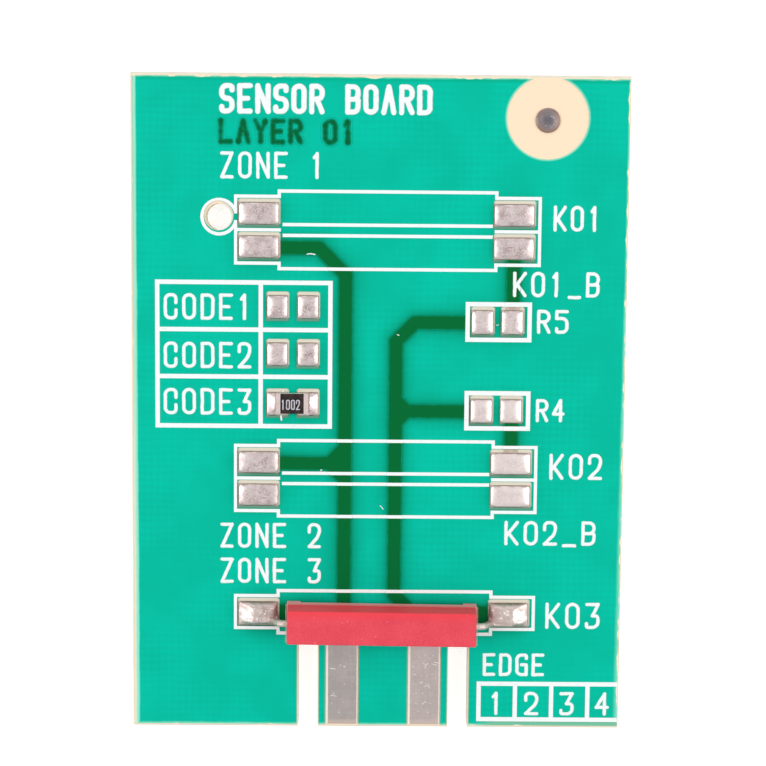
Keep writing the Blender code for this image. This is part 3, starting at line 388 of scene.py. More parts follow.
@dataclass(frozen=True)
class MaskFinish:
    """Green solder mask: dark over copper, and thin and pale along the board's edges."""

    name: str = "green_mask_finish"
    bare: Colour = (0, 194, 166)
    bare_shade: Colour = (0, 184, 155)
    thin: Colour = (150, 236, 210)
    top_edge_dark: Colour = (0, 174, 140)
    soiled: Colour = (124, 190, 158)
    over_copper: Colour = (0, 104, 50)
    over_rim: Colour = (104, 150, 130)
    chipped: Colour = (250, 236, 212)
    film_top: float = 1.642
    ridge_top: float = 1.680
    left: float = -14.92
    right: float = 14.98
    low: float = -19.85
    high: float = 19.86
    opening: Place = (10.05, 17.53)
    opening_radius: float = 2.49
    rim_band: Pair = (0.02, 0.12)
    top_edge_dark_band: Pair = (0.14, 0.36)
    soiled_band: Pair = (0.26, 0.36)
    soiled_from: Pair = (6.0, 7.5)
    worn_band: Pair = (0.04, 0.25)
    worn_fade: Pair = (-14.0, 14.0)
    weave: float = 0.42
    weave_depth: float = 0.0013
    roughness: float = 0.42
    tracks: TrackShade = TrackShade()

    def build(self) -> Material:
        """Make the material.

        Returns:
            The material.
        """
        graph = Graph(self.name)
        x, y = graph.along(ACROSS), graph.along(UP)
        threads = self.threads(graph)
        green = (threads * 0.34 + graph.noise(2.6, 3.0)).stepped(0.32, 0.9)
        green = graph.mix(green, self.bare_shade, self.bare)
        # Darker along the top edge of the mask.
        top_edge_dark = 1 - (self.high - y).stepped(*self.top_edge_dark_band)
        green = graph.mix(top_edge_dark * 0.8, green, self.top_edge_dark)
        rim = 1 - (graph.reach(*self.opening) - self.opening_radius).stepped(*self.rim_band)
        green = graph.mix(self.thinness(graph).most(rim * 0.7), green, self.thin)
        soiled = (1 - (y - self.low).stepped(*self.soiled_band)) * x.stepped(*self.soiled_from)
        green = graph.mix(soiled * 0.85, green, self.soiled)
        worn = 1 - (x - self.left + graph.noise(0.8, 2.0) * 0.08).stepped(*self.worn_band)
        worn *= 0.8 - y.stepped(*self.worn_fade) * 0.5
        green = graph.mix(worn.most(self.chips(graph)), green, self.chipped)
        shade = self.tracks.share(graph)
        green = graph.mix(self.tracks.halo(graph), green, self.over_copper)
        raised = graph.along(OUT).stepped(self.film_top, self.ridge_top)
        green = graph.mix(raised * (1 - shade.stepped(0.30, 0.55)), green, self.over_rim)
        colour = graph.mix(shade, green, self.over_copper)
        normal = graph.bump(threads + graph.noise(0.8, 2.0) * 1.2, self.weave_depth)
        looks = {"Roughness": self.roughness, "Specular_IOR_Level": 0.05}
        return graph.finish(Base_Color=colour, Normal=normal, **looks)

    def thinness(self, graph: Graph) -> Wire:
        """How thin the film lies towards the board's four edges, most of all at the left and lower right.

        Args:
            graph: The graph it goes into.

        Returns:
            A value from 0 to 1.
        """
        x, y = graph.along(ACROSS), graph.along(UP)
        ragged = graph.noise(0.6, 2.0) * 0.14 + graph.noise(3.0, 1.0) * 0.12 - 0.13
        lower = (y * -1).stepped(-18.0, 20.0)
        left = 1 - (x - self.left + ragged * 0.4 - lower * 0.08).stepped(0.15, 0.26)
        line = 1 - (x - self.left + ragged * 0.2).stepped(0.05, 0.09)
        left = left * 0.85 - line * (1 - lower) * 0.55
        right = 1 - ((self.right - x + ragged * 0.5) / (0.11 + lower * 0.22)).stepped(0.0, 1.0)
        top = 1 - (self.high - y + ragged * 0.8).stepped(0.0, 0.12)
        foot = 1 - (y - self.low + ragged * 0.6).stepped(0.0, 0.17)
        return left.most(right * 0.7).most(top * 0.6).most(foot * 0.75)

    def chips(self, graph: Graph) -> Wire:
        """Places where the cut has broken small chips out of the film's edges.

        Args:
            graph: The graph they go into.

        Returns:
            A value of 1 where the film is gone.
        """
        x, y = graph.along(ACROSS), graph.along(UP)
        sides = (x - self.left + 0.06).least(self.right - x)
        edge = sides.least(self.high - y).least(y - self.low + 0.04)
        depth = graph.noise(1.0, 3.0).stepped(0.46, 0.74) * 0.11
        return 1 - (edge + 0.02 - depth).stepped(0.0, 0.035)

    def threads(self, graph: Graph) -> Wire:
        """Faint, uneven checks of the glass weave under the film.

        Args:
            graph: The graph they go into.

        Returns:
            A value from 0 to 1.
        """
        sockets = {"Vector": graph.place(), "Scale": math.pi / (10 * self.weave * MM)}
        sockets |= {"Distortion": 2.2, "Detail": 2.0, "Detail Scale": 0.8}
        ways = ("X", "Y")
        warp, weft = (graph.add("ShaderNodeTexWave", sockets, "Fac", bands_direction=way) for way in ways)
        return (warp * 0.4 + weft * 0.6) * graph.noise(3.5, 1.0).stepped(0.3, 0.7)


@dataclass(frozen=True)
class LaminateFinish:
    """Cream glass and epoxy: fibrous at its edges, paler on its cut sides, partly from painted light, and
    dulled by flux between the pads.
    """

    resin: Colour = (250, 226, 195)
    side: Colour = (255, 249, 234)
    fibre: Colour = (245, 229, 202)
    flux: Colour = (224, 220, 204)
    face: Pair = (1.55, 1.59)
    flux_side: Pair = (9.45, 9.60)
    flux_top: Pair = (12.7, 13.2)
    flux_foot: Pair = (-14.2, -13.9)

    def build(self) -> Material:
        """Make the material.

        Returns:
            The material.
        """
        graph = Graph("glass_epoxy_finish")
        strands = graph.noise(0.25, 3.0, (1.0, 1.0, 9.0))
        top = graph.along(OUT).stepped(*self.face)
        share = (strands * 0.6 + graph.noise(1.4, 3.0) * 0.5).stepped(0.4, 0.85) * (1 - top * 0.8)
        # The cut sides are paler than the top face, partly their own colour and partly painted light that
        # keeps the shaded slot walls pale.
        colour = graph.mix(share, graph.mix(top, self.side, self.resin), self.fibre)
        x, y = graph.along(ACROSS), graph.along(UP)
        middle = 1 - x.size().stepped(*self.flux_side)
        inside = middle * (1 - y.stepped(*self.flux_top)) * y.stepped(*self.flux_foot)
        colour = graph.mix(inside * top * 0.85, colour, self.flux)
        normal = graph.bump(strands * (1 - top * 0.8), 0.02)
        return graph.finish(Base_Color=colour, Roughness=0.62, Specular_IOR_Level=0.25, Normal=normal)


@dataclass(frozen=True)
class MetalFinish:
    """Grainy metal: plating, copper or wire."""

    name: str
    bright: Colour
    dull: Colour
    grain: float
    depth: float
    roughness: float
    patch: float = 0.5

    def build(self) -> Material:
        """Make the material.

        Returns:
            The material.
        """
        graph = Graph(self.name)
        fine, broad = graph.noise(self.grain, 3.0), graph.noise(self.patch, 3.0)
        colour = graph.mix((fine * 0.45 + broad * 0.8).stepped(0.42, 0.85), self.bright, self.dull)
        colour, metal = self.stains_and_painted_light(graph, colour, broad)
        rough = self.roughness + (broad - 0.5) * 0.25
        normal = graph.bump(fine * 0.7 + broad, self.depth)
        return graph.finish(Base_Color=colour, Metallic=metal, Roughness=rough, Normal=normal)

    def stains_and_painted_light(self, graph: Graph, colour: Wire, broad: Wire) -> tuple[Wire, Wire | float]:
        """The stained colour and how bare the metal is, which is all bare here."""
        return colour, 1.0


@dataclass(frozen=True)
class SolderFinish(MetalFinish):
    """Levelled solder on a pad: speckled in the middle, brown at its upper rim and dull at its lower one."""

    grain: float = 0.12
    depth: float = 0.0035
    roughness: float = 0.34
    patch: float = 0.45
    speck: Colour = (134, 110, 110)
    rim: Colour = (142, 121, 111)
    foot: Colour = (146, 155, 142)
    pale: Colour = (238, 226, 222)
    red_reflection: Colour = (182, 140, 136)
    glint: Colour = (255, 247, 244)
    specks: float = 0.62
    paler: float = 0.42
    red_reflection_share: float = 0.0
    gleam: float = 0.0
    east: Pair = (-2.0, 7.0)
    south: Pair = (-7.0, -2.0)

    def stains_and_painted_light(self, graph: Graph, colour: Wire, broad: Wire) -> tuple[Wire, Wire | float]:
        """Stain the solder by each point's place on its pad, and paint a joint's red reflection and
        highlights.

        Args:
            graph: The graph it goes into.
            colour: The clean colour.
            broad: Broad noise.

        Returns:
            The stained colour with its painted reflection and highlights, and how bare the metal is.
        """
        pad = graph.add("ShaderNodeAttribute", out="Vector", attribute_name=PAD_PLACE)
        across, up = graph.vector("DOT_PRODUCT", pad, ACROSS), graph.vector("DOT_PRODUCT", pad, UP)
        middle = 1 - across.size().power(3.0) - (up + 0.1).size().power(3.0)
        dark = (graph.noise(0.10, 3.0) * 0.7 + graph.noise(0.55, 2.0) * 0.55).stepped(0.60, 0.76)
        corner = graph.along(ACROSS).stepped(*self.east) * graph.along((0, -1, 0)).stepped(*self.south)
        colour = graph.mix(corner * self.paler, colour, self.pale)
        colour = graph.mix(dark * middle.most(0.0) * (1 - corner * 0.7) * self.specks, colour, self.speck)
        ragged = (broad - 0.5) * 0.22
        rim = (up + ragged).stepped(0.84, 0.95) * (1 - across.size().stepped(0.80, 0.96))
        colour = graph.mix(rim * 0.75, colour, self.rim)
        foot = (up * -1 + ragged * 0.5).stepped(0.80, 1.0)
        colour = graph.mix(foot * 0.55, colour, self.foot)
        # Painted reflection of the red moulding at a joint's inner end, where the metal is made less bare.
        inner = (across * -1 + ragged).stepped(0.45, 0.95) * self.red_reflection_share
        colour = graph.mix(inner, colour, self.red_reflection)
        # Painted highlights of a joint.
        colour = graph.mix(self.glints(graph, across, up) * self.gleam, colour, self.glint)
        return colour, 1 - inner

    def glints(self, graph: Graph, across: Wire, up: Wire) -> Wire:
        """Painted highlights of a full joint: a broad one near its outer end and small ones all over.

        Args:
            graph: The graph they go into.
            across: Place across the pad, from -1 at its inner end to 1.
            up: Place up the pad, from -1 to 1.

        Returns:
            A value of 1 where it's bright.
        """
        ragged = graph.noise(0.30, 3.0) - 0.5
        far = ((across - 0.56) / 0.34).size().most(((up + 0.12) / 0.62).size()) + ragged * 1.5
        spots = graph.noise(0.17, 1.0).stepped(0.62, 0.78)
        return (1 - far.stepped(0.35, 1.15)).most(spots * (1 - up.size().stepped(0.5, 0.9)))


@dataclass(frozen=True)
class FingerFinish:
    """Dull tin on an edge finger: pale along both sides and at its lower end, and finely cross-scratched."""

    name: str
    centre: float
    bright: Colour
    dull: Colour
    pale: Colour = (246, 234, 220)
    end: Colour = (190, 174, 165)
    half: float = 0.98
    foot: float = -19.79

    def build(self) -> Material:
        """Make the material.

        Returns:
            The material.
        """
        graph = Graph(self.name)
        x, y = graph.along(ACROSS) - self.centre, graph.along(UP)
        cross = graph.noise(0.16, 2.0, (0.2, 1.0, 1.0)) + graph.noise(0.16, 2.0, (1.0, 0.2, 1.0))
        cloud = graph.noise(1.1, 3.0)
        colour = graph.mix((cross * 0.35 + cloud * 0.6).stepped(0.4, 0.85), self.bright, self.dull)
        ragged = (graph.noise(0.3, 2.0) - 0.5) * 0.10
        tip = 1 - (y - self.foot + ragged).stepped(0.12, 0.42)
        colour = graph.mix(tip * 0.7, colour, self.end)
        left = 1 - (x + self.half + ragged * 0.5).stepped(0.08, 0.16)
        right = 1 - (self.half - x + ragged * 0.5).stepped(0.03, 0.10)
        edge = left.most(right * 0.8)
        colour = graph.mix(edge, colour, self.pale)
        rough, normal = 0.42 + cloud * 0.08, graph.bump(cross, 0.003)
        return graph.finish(Base_Color=colour, Metallic=1 - edge * 0.9, Roughness=rough, Normal=normal)


@dataclass(frozen=True)
class MarkFinish:
    """Tin on the round mark: darker in the middle, and brown round part of its rim, a painted shadow at the
    copper's edge.
    """

    x: float = 10.05
    y: float = 17.38
    middle: Colour = (98, 96, 101)
    ring: Colour = (124, 114, 115)
    rim: Colour = (144, 117, 106)
    fleck: Colour = (184, 178, 180)

    def build(self) -> Material:
        """Make the material.

        Returns:
            The material.
        """
        graph = Graph("round_mark_finish")
        out = graph.reach(self.x, self.y) + (graph.noise(0.35, 3.0) - 0.5) * 0.25
        inside = graph.mix(out.stepped(0.15, 0.42), self.middle, self.ring)
        # Painted shadow at the copper's edge: a brown rim, strongest at the lower right.
        lower = (graph.along((-0.5, 0.85, 0)) - (0.85 * self.y - 0.5 * self.x)).stepped(-0.5, 0.5)
        colour = graph.mix(out.stepped(0.46, 0.66) * (1 - lower * 0.6), inside, self.rim)
        flecks = graph.noise(0.13, 2.0).stepped(0.60, 0.72) * (1 - out.stepped(0.35, 0.6))
        colour = graph.mix(flecks * 0.6, colour, self.fleck)
        normal = graph.bump(graph.noise(0.12, 3.0), 0.01)
        return graph.finish(Base_Color=colour, Metallic=0.75, Roughness=0.38, Normal=normal)


@dataclass(frozen=True)
class MouldingFinish:
    """Red moulded plastic with a satin grain, pale flecks, and a painted pale sheen on its ends and lower
    sides.
    """

    red: Colour = (236, 76, 90)
    deep: Colour = (218, 60, 78)
    lit_upper_red: Colour = (238, 58, 70)
    fleck: Colour = (248, 166, 166)
    painted_sheen: Colour = (238, 190, 188)
    centre: Place = (0.30, -13.26)
    slant: float = -0.0087
    half_length: float = 5.85
    top: float = 4.02
    painted_sheen_up_to: Pair = (2.2, 2.95)

    def build(self) -> Material:
        """Make the material.

        Returns:
            The material.
        """
        graph = Graph("red_moulding_finish")
        along = graph.along(ACROSS) - self.centre[0]
        up = graph.along((-self.slant, 1, 0)) - (self.centre[1] - self.slant * self.centre[0])
        height = graph.along(OUT)
        grain, cloud = graph.noise(0.10, 3.0), graph.noise(1.3, 3.0)
        base = graph.mix((grain * 0.6 + cloud * 0.6).stepped(0.35, 0.85), self.red, self.deep)
        # Painted light: the top turns a stronger red toward its upper long side, the side the top lamp
        # lights.
        base = graph.mix(up.stepped(0.35, 0.95) * 0.75, base, self.lit_upper_red)
        flecks = 1 - graph.cells(0.38).stepped(0.04, 0.11)
        spread = graph.noise(0.9, 1.0).stepped(0.45, 0.6)
        colour = graph.mix(flecks * spread * 0.7, base, self.fleck)
        # Painted sheen: the lower sides and the ends, which the side lamps light, are mixed towards pale.
        side = 1 - height.stepped(self.top - 0.12, self.top - 0.02)
        low = side * (1 - height.stepped(*self.painted_sheen_up_to)) * 0.55
        ends = (along.size() + (grain - 0.5) * 0.06).stepped(self.half_length - 0.16, self.half_length - 0.08)
        colour = graph.mix(low.most(ends * 0.7), colour, self.painted_sheen)
        normal = graph.bump(grain + cloud * 0.5, 0.012)
        return graph.finish(Base_Color=colour, Roughness=0.5, Specular_IOR_Level=0.35, Normal=normal)


@dataclass(frozen=True)
class SmoothFinish:
    """Glaze, fired ceramic or glass, with soft patches of a second colour."""

    name: str
    body: Colour
    second: Colour
    roughness: float
    shine: float = 0.5
    glass: float = 0.0
    patch: float = 0.3
    steps: Pair = (0.35, 0.75)
    share: float = 1.0
    grain: float = 0.15
    depth: float = 0.003

    def build(self) -> Material:
        """Make the material.

        Returns:
            The material.
        """
        graph = Graph(self.name)
        patches = graph.noise(self.patch, 3.0).stepped(*self.steps) * self.share
        colour = graph.mix(patches, self.body, self.second)
        normal = graph.bump(graph.noise(self.grain, 2.0), self.depth)
        looks = {"Specular_IOR_Level": self.shine, "Transmission_Weight": self.glass}
        return graph.finish(Base_Color=colour, Normal=normal, Roughness=self.roughness, **looks)


@dataclass(frozen=True)
class InkFinish(SmoothFinish):
    """Screen-printed ink, thin in patches."""

    name: str = "white_ink_finish"
    body: Colour = (244, 248, 248)
    second: Colour = (218, 234, 230)
    roughness: float = 0.6
    shine: float = 0.2
    patch: float = 0.22
    steps: Pair = (0.52, 0.85)
    share: float = 0.7
    grain: float = 0.12
    depth: float = 0.004


class Finishes:
    """Every finish of the board, made once: those of the slots, and those of single pieces."""

    # Joints get the painted red reflection at their inner ends and painted highlights.
    JOINT = {"depth": 0.004, "roughness": 0.40, "specks": 0.7, "paler": 0.0, "red_reflection_share": 0.65, "gleam": 0.75}
    OF_SLOTS = {
        Slot.LAMINATE: LaminateFinish(),
        Slot.MASK: MaskFinish(),
        Slot.COPPER: MetalFinish("copper_finish", (192, 176, 163), (166, 150, 138), 0.12, 0.006, 0.45),
        Slot.TIN: SolderFinish("tin_finish", (208, 196, 194), (184, 170, 169)),
        Slot.JOINT: SolderFinish("joint_finish", (200, 186, 181), (176, 160, 154), **JOINT),
        Slot.CAP: MetalFinish("cap_finish", (206, 191, 187), (190, 172, 169), 0.10, 0.004, 0.42),
        Slot.CERAMIC: SmoothFinish("alumina_finish", (236, 232, 224), (222, 216, 206), 0.5),
        Slot.GLAZE: SmoothFinish("black_glaze_finish", (22, 17, 19), (58, 40, 35), 0.36, 0.22),
        Slot.CAPSULE: SmoothFinish("capsule_finish", (222, 240, 230), (214, 236, 226), 0.04, glass=0.9),
        Slot.REED: MetalFinish("wire_finish", (206, 191, 184), (188, 169, 160), 0.10, 0.005, 0.44),
        Slot.INK: InkFinish(),
        Slot.MOULDING: MouldingFinish(),
    }
    OF_PIECES = {
        "tin_finger_left": FingerFinish("finger_left_finish", -2.125, (169, 161, 158), (155, 148, 145)),
        "tin_finger_right": FingerFinish("finger_right_finish", 2.955, (183, 171, 169), (170, 159, 156)),
        "tin_mark": MarkFinish(),
        "scratch": MetalFinish("scratch_finish", (228, 222, 219), (208, 201, 197), 0.10, 0.004, 0.55),
        "etched": MaskFinish("etched_mask_finish", over_rim=(0, 96, 50)),
        "chip_ink": InkFinish("chip_ink_finish", (196, 194, 204), (150, 146, 156)),
    }

    def __init__(self) -> None:
        """Make the materials."""
        self.slots = {slot: finish.build() for slot, finish in self.OF_SLOTS.items()}
        self.pieces = {name: finish.build() for name, finish in self.OF_PIECES.items()}


class Surface:
    """The upper side of a node, which print follows."""

    RAY_START = 0.01

    def __init__(self, node: str, level: float) -> None:
        """Read a node's mesh.

        Args:
            node: The node that carries the print.
            level: Height where the node is open, in millimetres.
        """
        mesh = frame["nodes"][node].data
        points = [vertex.co.copy() for vertex in mesh.vertices]
        self.tree = BVHTree.FromPolygons(points, [list(face.vertices) for face in mesh.polygons])
        self.level = level

    def height(self, x: float, y: float) -> float:
        """Height of the surface at a place, in millimetres."""
        hit = self.tree.ray_cast(Vector((x * MM, y * MM, self.RAY_START)), Vector((0, 0, -1)))[0]
        return hit.z / MM if hit is not None else self.level


def add_piece(name: str, form: BMesh, finish: Material) -> bpy.types.Object:
    """Turn a form into a smooth piece that rides on the board.

    Args:
        name: The piece's name.
        form: Its form, in millimetres, which is freed.
        finish: Its finish.

    Returns:
        The new object.
    """
    for face in form.faces:
        face.smooth = True
    bmesh.ops.scale(form, vec=(MM, MM, MM), verts=form.verts)
    mesh = mesh_of(name, form)
    mesh.materials.append(finish)
    piece = put(name, mesh)
    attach(piece, BODY)
    LOG.info("made %s", name)
    return piece


# Strokes of the plotter lettering. Each pair of digits is a corner on a grid four wide and six high, a star
# rounds it, and a bar starts the next stroke.
STROKES = {
    "A": "00 26 40|13 33",
    "B": "00 06 46* 43* 03|33 43* 40* 00",
    "C": "44 46* 06* 00* 40* 42",
    "D": "00 06 46* 40* 00",
    "E": "46 06 00 40|03 33",
    "G": "45 46* 06* 00* 40 43 23",
    "K": "00 06|46 02|13 40",
    "L": "06 00 40",
    "N": "00 06 40 46",
    "O": "03 06* 46* 40* 00* 03",
    "R": "00 06 46* 43* 03|23 40",
    "S": "45 46* 06* 03* 43* 40* 00* 01",
    "Y": "06 23 46|23 20",
    "Z": "06 46 00 40",
    "0": "03 06* 46* 40* 00* 03",
    "1": "15 26 20",
    "2": "04 06* 46* 43* 00 40",
    "3": "06 46 23 43* 40* 00* 01",
    "4": "30 36 02 42",
    "5": "46 06 04 44* 40* 00* 01",
    "_": "00 40",
}
GRID_WIDTH, GRID_HEIGHT = 4, 6
LETTER_SHARE = 0.57


@dataclass(frozen=True)
class Line:
    """One line of lettering, by its lower left corner, its reach and its height."""

    words: str
    left: float
    foot: float
    width: float
    height: float
    stroke: float = 0.215
    drop: float = 0.0

    def pitch(self) -> float:
        """Distance from one letter to the next."""
        return (self.width - self.stroke) / (len(self.words) - 1 + LETTER_SHARE)

    def at(self, index: int, mark: str) -> Vector:
        """Place of a corner of one letter, in the board's plane.

        Args:
            index: The letter's number in the line.
            mark: The corner's two digits.

        Returns:
            The place.
        """
        inset = self.stroke / 2
        across = self.left + inset + self.pitch() * (index + LETTER_SHARE * int(mark[0]) / GRID_WIDTH)
        up = self.foot + inset + (self.height - self.stroke) * int(mark[1]) / GRID_HEIGHT
        return Vector((across, up, 0.0))


@dataclass
class Lettering:
    """Round-ended strokes, wavering a little, that follow a surface."""

    finishes: Finishes
    surface: Surface | None = None
    step: float = 0.09
    round_steps: int = 7
    bend_share: float = 0.98
    waver: float = 0.018
    waver_often: float = 2.3
    swell: float = 0.10
    swell_often: float = 3.7
    softness: float = 1.0
    widening: float = 1.0
    sides: int = 2
    weld: float = 0.004
    ENDS = ((0.0, 0.02), (0.12, 0.48), (0.35, 0.76), (0.65, 0.937))

    def strokes(self, line: Line) -> list[list[Vector]]:
        """Paths of every stroke in a line of lettering.

        Args:
            line: The words and their place.

        Returns:
            A path for each stroke.
        """
        paths = []
        for index, letter in enumerate(line.words):
            lower = Vector((0, -line.drop, 0)) if letter == "_" else Vector()
            for stroke in STROKES.get(letter, "").split("|"):
                marks = stroke.split()
                paths += self.split([(line.at(index, mark) + lower, mark.endswith("*")) for mark in marks])
        return paths

    def split(self, corners: list[tuple[Vector, bool]]) -> list[list[Vector]]:
        """Round the marked corners of a stroke and part it at the sharp ones.

        Args:
            corners: The corners, and whether each is rounded.

        Returns:
            The paths between sharp corners.
        """
        paths = []
        path = [corner for corner, _ in corners[:1]]
        for index, (corner, rounded) in enumerate(corners[1:], 1):
            if rounded and index < len(corners) - 1:
                path += self.bend(corners[index - 1][0], corner, corners[index + 1][0])
            else:
                paths.append([*path, corner])
                path = [corner]
        return paths

    def bend(self, before: Vector, corner: Vector, after: Vector) -> list[Vector]:
        """Round a corner as far as the middle of its shorter side.

        Args:
            before: The corner before it.
            corner: The corner itself.
            after: The corner after it.

        Returns:
            Points along the bend.
        """
        back, ahead = before - corner, after - corner
        reach = min(back.length, ahead.length) / 2 * self.bend_share
        start, end = corner + back.normalized() * reach, corner + ahead.normalized() * reach
        turns = [math.pi / 2 * number / self.round_steps for number in range(self.round_steps + 1)]
        into, away = corner - start, end - corner
        return [start + into * math.sin(turn) + away * (1 - math.cos(turn)) for turn in turns]

    def dots(self, path: list[Vector], radius: float) -> Dots:
        """Even points along a path, with a radius that closes round at both ends.

        Args:
            path: The path.
            radius: Half the stroke's width.

        Returns:
            Each point and its radius.
        """
        first = (path[1] - path[0]).normalized()
        final = (path[-1] - path[-2]).normalized()
        body = [path[0]]
        for start, end in pairwise(path):
            count = max(1, round((end - start).length / self.step))
            body += [start.lerp(end, number / count) for number in range(1, count + 1)]
        points = [(path[0] - first * radius * (1 - far), radius * share) for far, share in self.ENDS]
        points += [(point, radius) for point in body]
        points += [(path[-1] + final * radius * (1 - far), radius * share) for far, share in self.ENDS[::-1]]
        return [self.unsteady(point, size) for point, size in points]

    def unsteady(self, point: Vector, radius: float) -> tuple[Vector, float]:
        """Move a point and change its radius a little, as in printed ink.

        Args:
            point: The point.
            radius: Half the stroke's width there.

        Returns:
            The moved point and its new radius.
        """
        shift = noise.noise_vector(point * self.waver_often).to_2d().to_3d() * self.waver
        layer = point * self.swell_often + Vector((0, 0, 9))
        return point + shift, radius * (1 + self.swell * noise.noise(layer))

    def tubes(self, name: str, strokes: list[Dots]) -> BMesh:
        """Sweep round strokes through their points.

        Args:
            name: Name of the passing curve.
            strokes: Points and radii of each stroke.

        Returns:
            The strokes as closed tubes in the plane of the board.
        """
        curve = bpy.data.curves.new(name, "CURVE")
        curve.dimensions = "3D"
        curve.bevel_depth = 1.0
        curve.bevel_resolution = self.sides
        for stroke in strokes:
            spline = curve.splines.new("POLY")
            spline.points.add(len(stroke) - 1)
            for target, (point, radius) in zip(spline.points, stroke):
                target.co = (*point, 1.0)
                target.radius = radius
        passing = put(name, curve)
        graph = bpy.context.evaluated_depsgraph_get()
        mesh = bpy.data.meshes.new_from_object(passing.evaluated_get(graph))
        bpy.data.objects.remove(passing)
        form = bmesh.new()
        form.from_mesh(mesh)
        bpy.data.meshes.remove(mesh)
        bmesh.ops.remove_doubles(form, verts=form.verts, dist=self.weld)
        bmesh.ops.holes_fill(form, edges=form.edges, sides=12)
        bmesh.ops.recalc_face_normals(form, faces=form.faces)
        return form

    def lay(
        self, name: str, strokes: list[Dots], size: Pair, slot: Slot = Slot.INK, own: Material | None = None
    ) -> None:
        """Press round strokes down to a film on the surface, as one piece.

        Args:
            name: The piece's name.
            strokes: Points and radii of each stroke.
            size: Height of the film over the surface, and half the width of a full stroke.
            slot: The slot of its finish.
            own: A finish of its own.
        """
        rise, radius = size
        form = self.tubes(name, strokes)
        for vertex in form.verts:
            ground = self.surface.height(vertex.co.x, vertex.co.y)
            share = vertex.co.z / radius
            vertex.co.z = ground + rise * math.copysign(abs(share) ** self.softness, share)
        add_piece(name, form, own or self.finishes.slots[slot])

    def write(self, name: str, line: Line, rise: float, *finish: Slot | Material) -> None:
        """Print one line of lettering.

        Args:
            name: The piece's name.
            line: The words and their place.
            rise: Height of the print over the surface.
            *finish: The slot of its finish, and a finish of its own, where they aren't plain ink.
        """
        radius = line.stroke / 2 * self.widening
        strokes = [self.dots(path, radius) for path in self.strokes(line)]
        self.lay(name, strokes, (rise, radius), *finish)


@dataclass
class Legend:
    """Every printed word of the board, and the one etched in copper under the mask."""

    finishes: Finishes
    rise: float = 0.016
    film_rise: float = 0.042
    cells: int = 4
    first_cell: Line = Line("1", 7.0, -19.20, 0.9, 1.49)
    cell_pitch: float = 2.19
    etched: Line = Line("LAYER 01", -9.767, 15.80, 8.255, 1.561, 0.32)
    value: Line = Line("1002", 0.03, 0.23, 1.15, 0.63, 0.075)
    value_rise: float = 0.005
    LINES = {
        "title": Line("SENSOR BOARD", -9.706, 17.61, 12.818, 1.835, 0.333),
        "zone_1": Line("ZONE 1", -9.648, 13.75, 6.25, 1.632),
        "zone_2": Line("ZONE 2", -9.634, -8.79, 6.177, 1.576),
        "zone_3": Line("ZONE 3", -9.635, -10.99, 6.19, 1.599),
        "place_1": Line("K01", 10.485, 10.73, 2.878, 1.57),
        "place_1_second": Line("K01_B", 8.088, 6.75, 5.285, 1.555, drop=0.1),
        "place_2": Line("K02", 10.501, -4.42, 3.243, 1.613),
        "place_2_second": Line("K02_B", 7.799, -8.52, 5.631, 1.542, drop=0.1),
        "place_3": Line("K03", 10.413, -13.73, 3.369, 1.658),
        "load_2": Line("R5", 9.587, 4.53, 1.938, 1.475),
        "load_1": Line("R4", 9.606, -0.88, 1.76, 1.437),
        "connector": Line("EDGE", 6.584, -16.73, 3.819, 1.448),
        "code_1": Line("CODE1", -13.07, 5.22, 5.326, 1.62),
        "code_2": Line("CODE2", -13.081, 2.27, 5.341, 1.628),
        "code_3": Line("CODE3", -13.091, -0.57, 5.354, 1.635),
    }

    def build(self) -> None:
        """Print every word."""
        mask = Surface("solder_mask", 1.64)
        board = Lettering(self.finishes, mask)
        for name, line in self.LINES.items():
            board.write(f"print_{name}", line, self.rise)
        for number in range(self.cells):
            left = self.first_cell.left + self.cell_pitch * number
            cell = replace(self.first_cell, words=str(number + 1), left=left)
            board.write(f"print_cell_{number + 1}", cell, self.rise)
        film = Lettering(self.finishes, mask, softness=3.4, widening=1.85, sides=4)
        film.write("etched_layer", self.etched, self.film_rise, Slot.MASK, self.finishes.pieces["etched"])
        low, _ = span("chip_glaze")
        chip = Lettering(self.finishes, Surface("chip_glaze", 2.14), waver=0.008)
        value = replace(self.value, left=low.x + self.value.left, foot=low.y + self.value.foot)
        chip.write("print_chip_value", value, self.value_rise, Slot.INK, self.finishes.pieces["chip_ink"])


class Spot(NamedTuple):
    """A place on a pad, from -1 to 1 across and up it, and across and up the board in millimetres."""

    u: float
    w: float
    x: float
    y: float

    def lumps(self, often: float, layer: float) -> float:
        """Noise over the board, from -1 to 1."""
        return noise.noise(Vector((self.x * often, self.y * often, layer)))


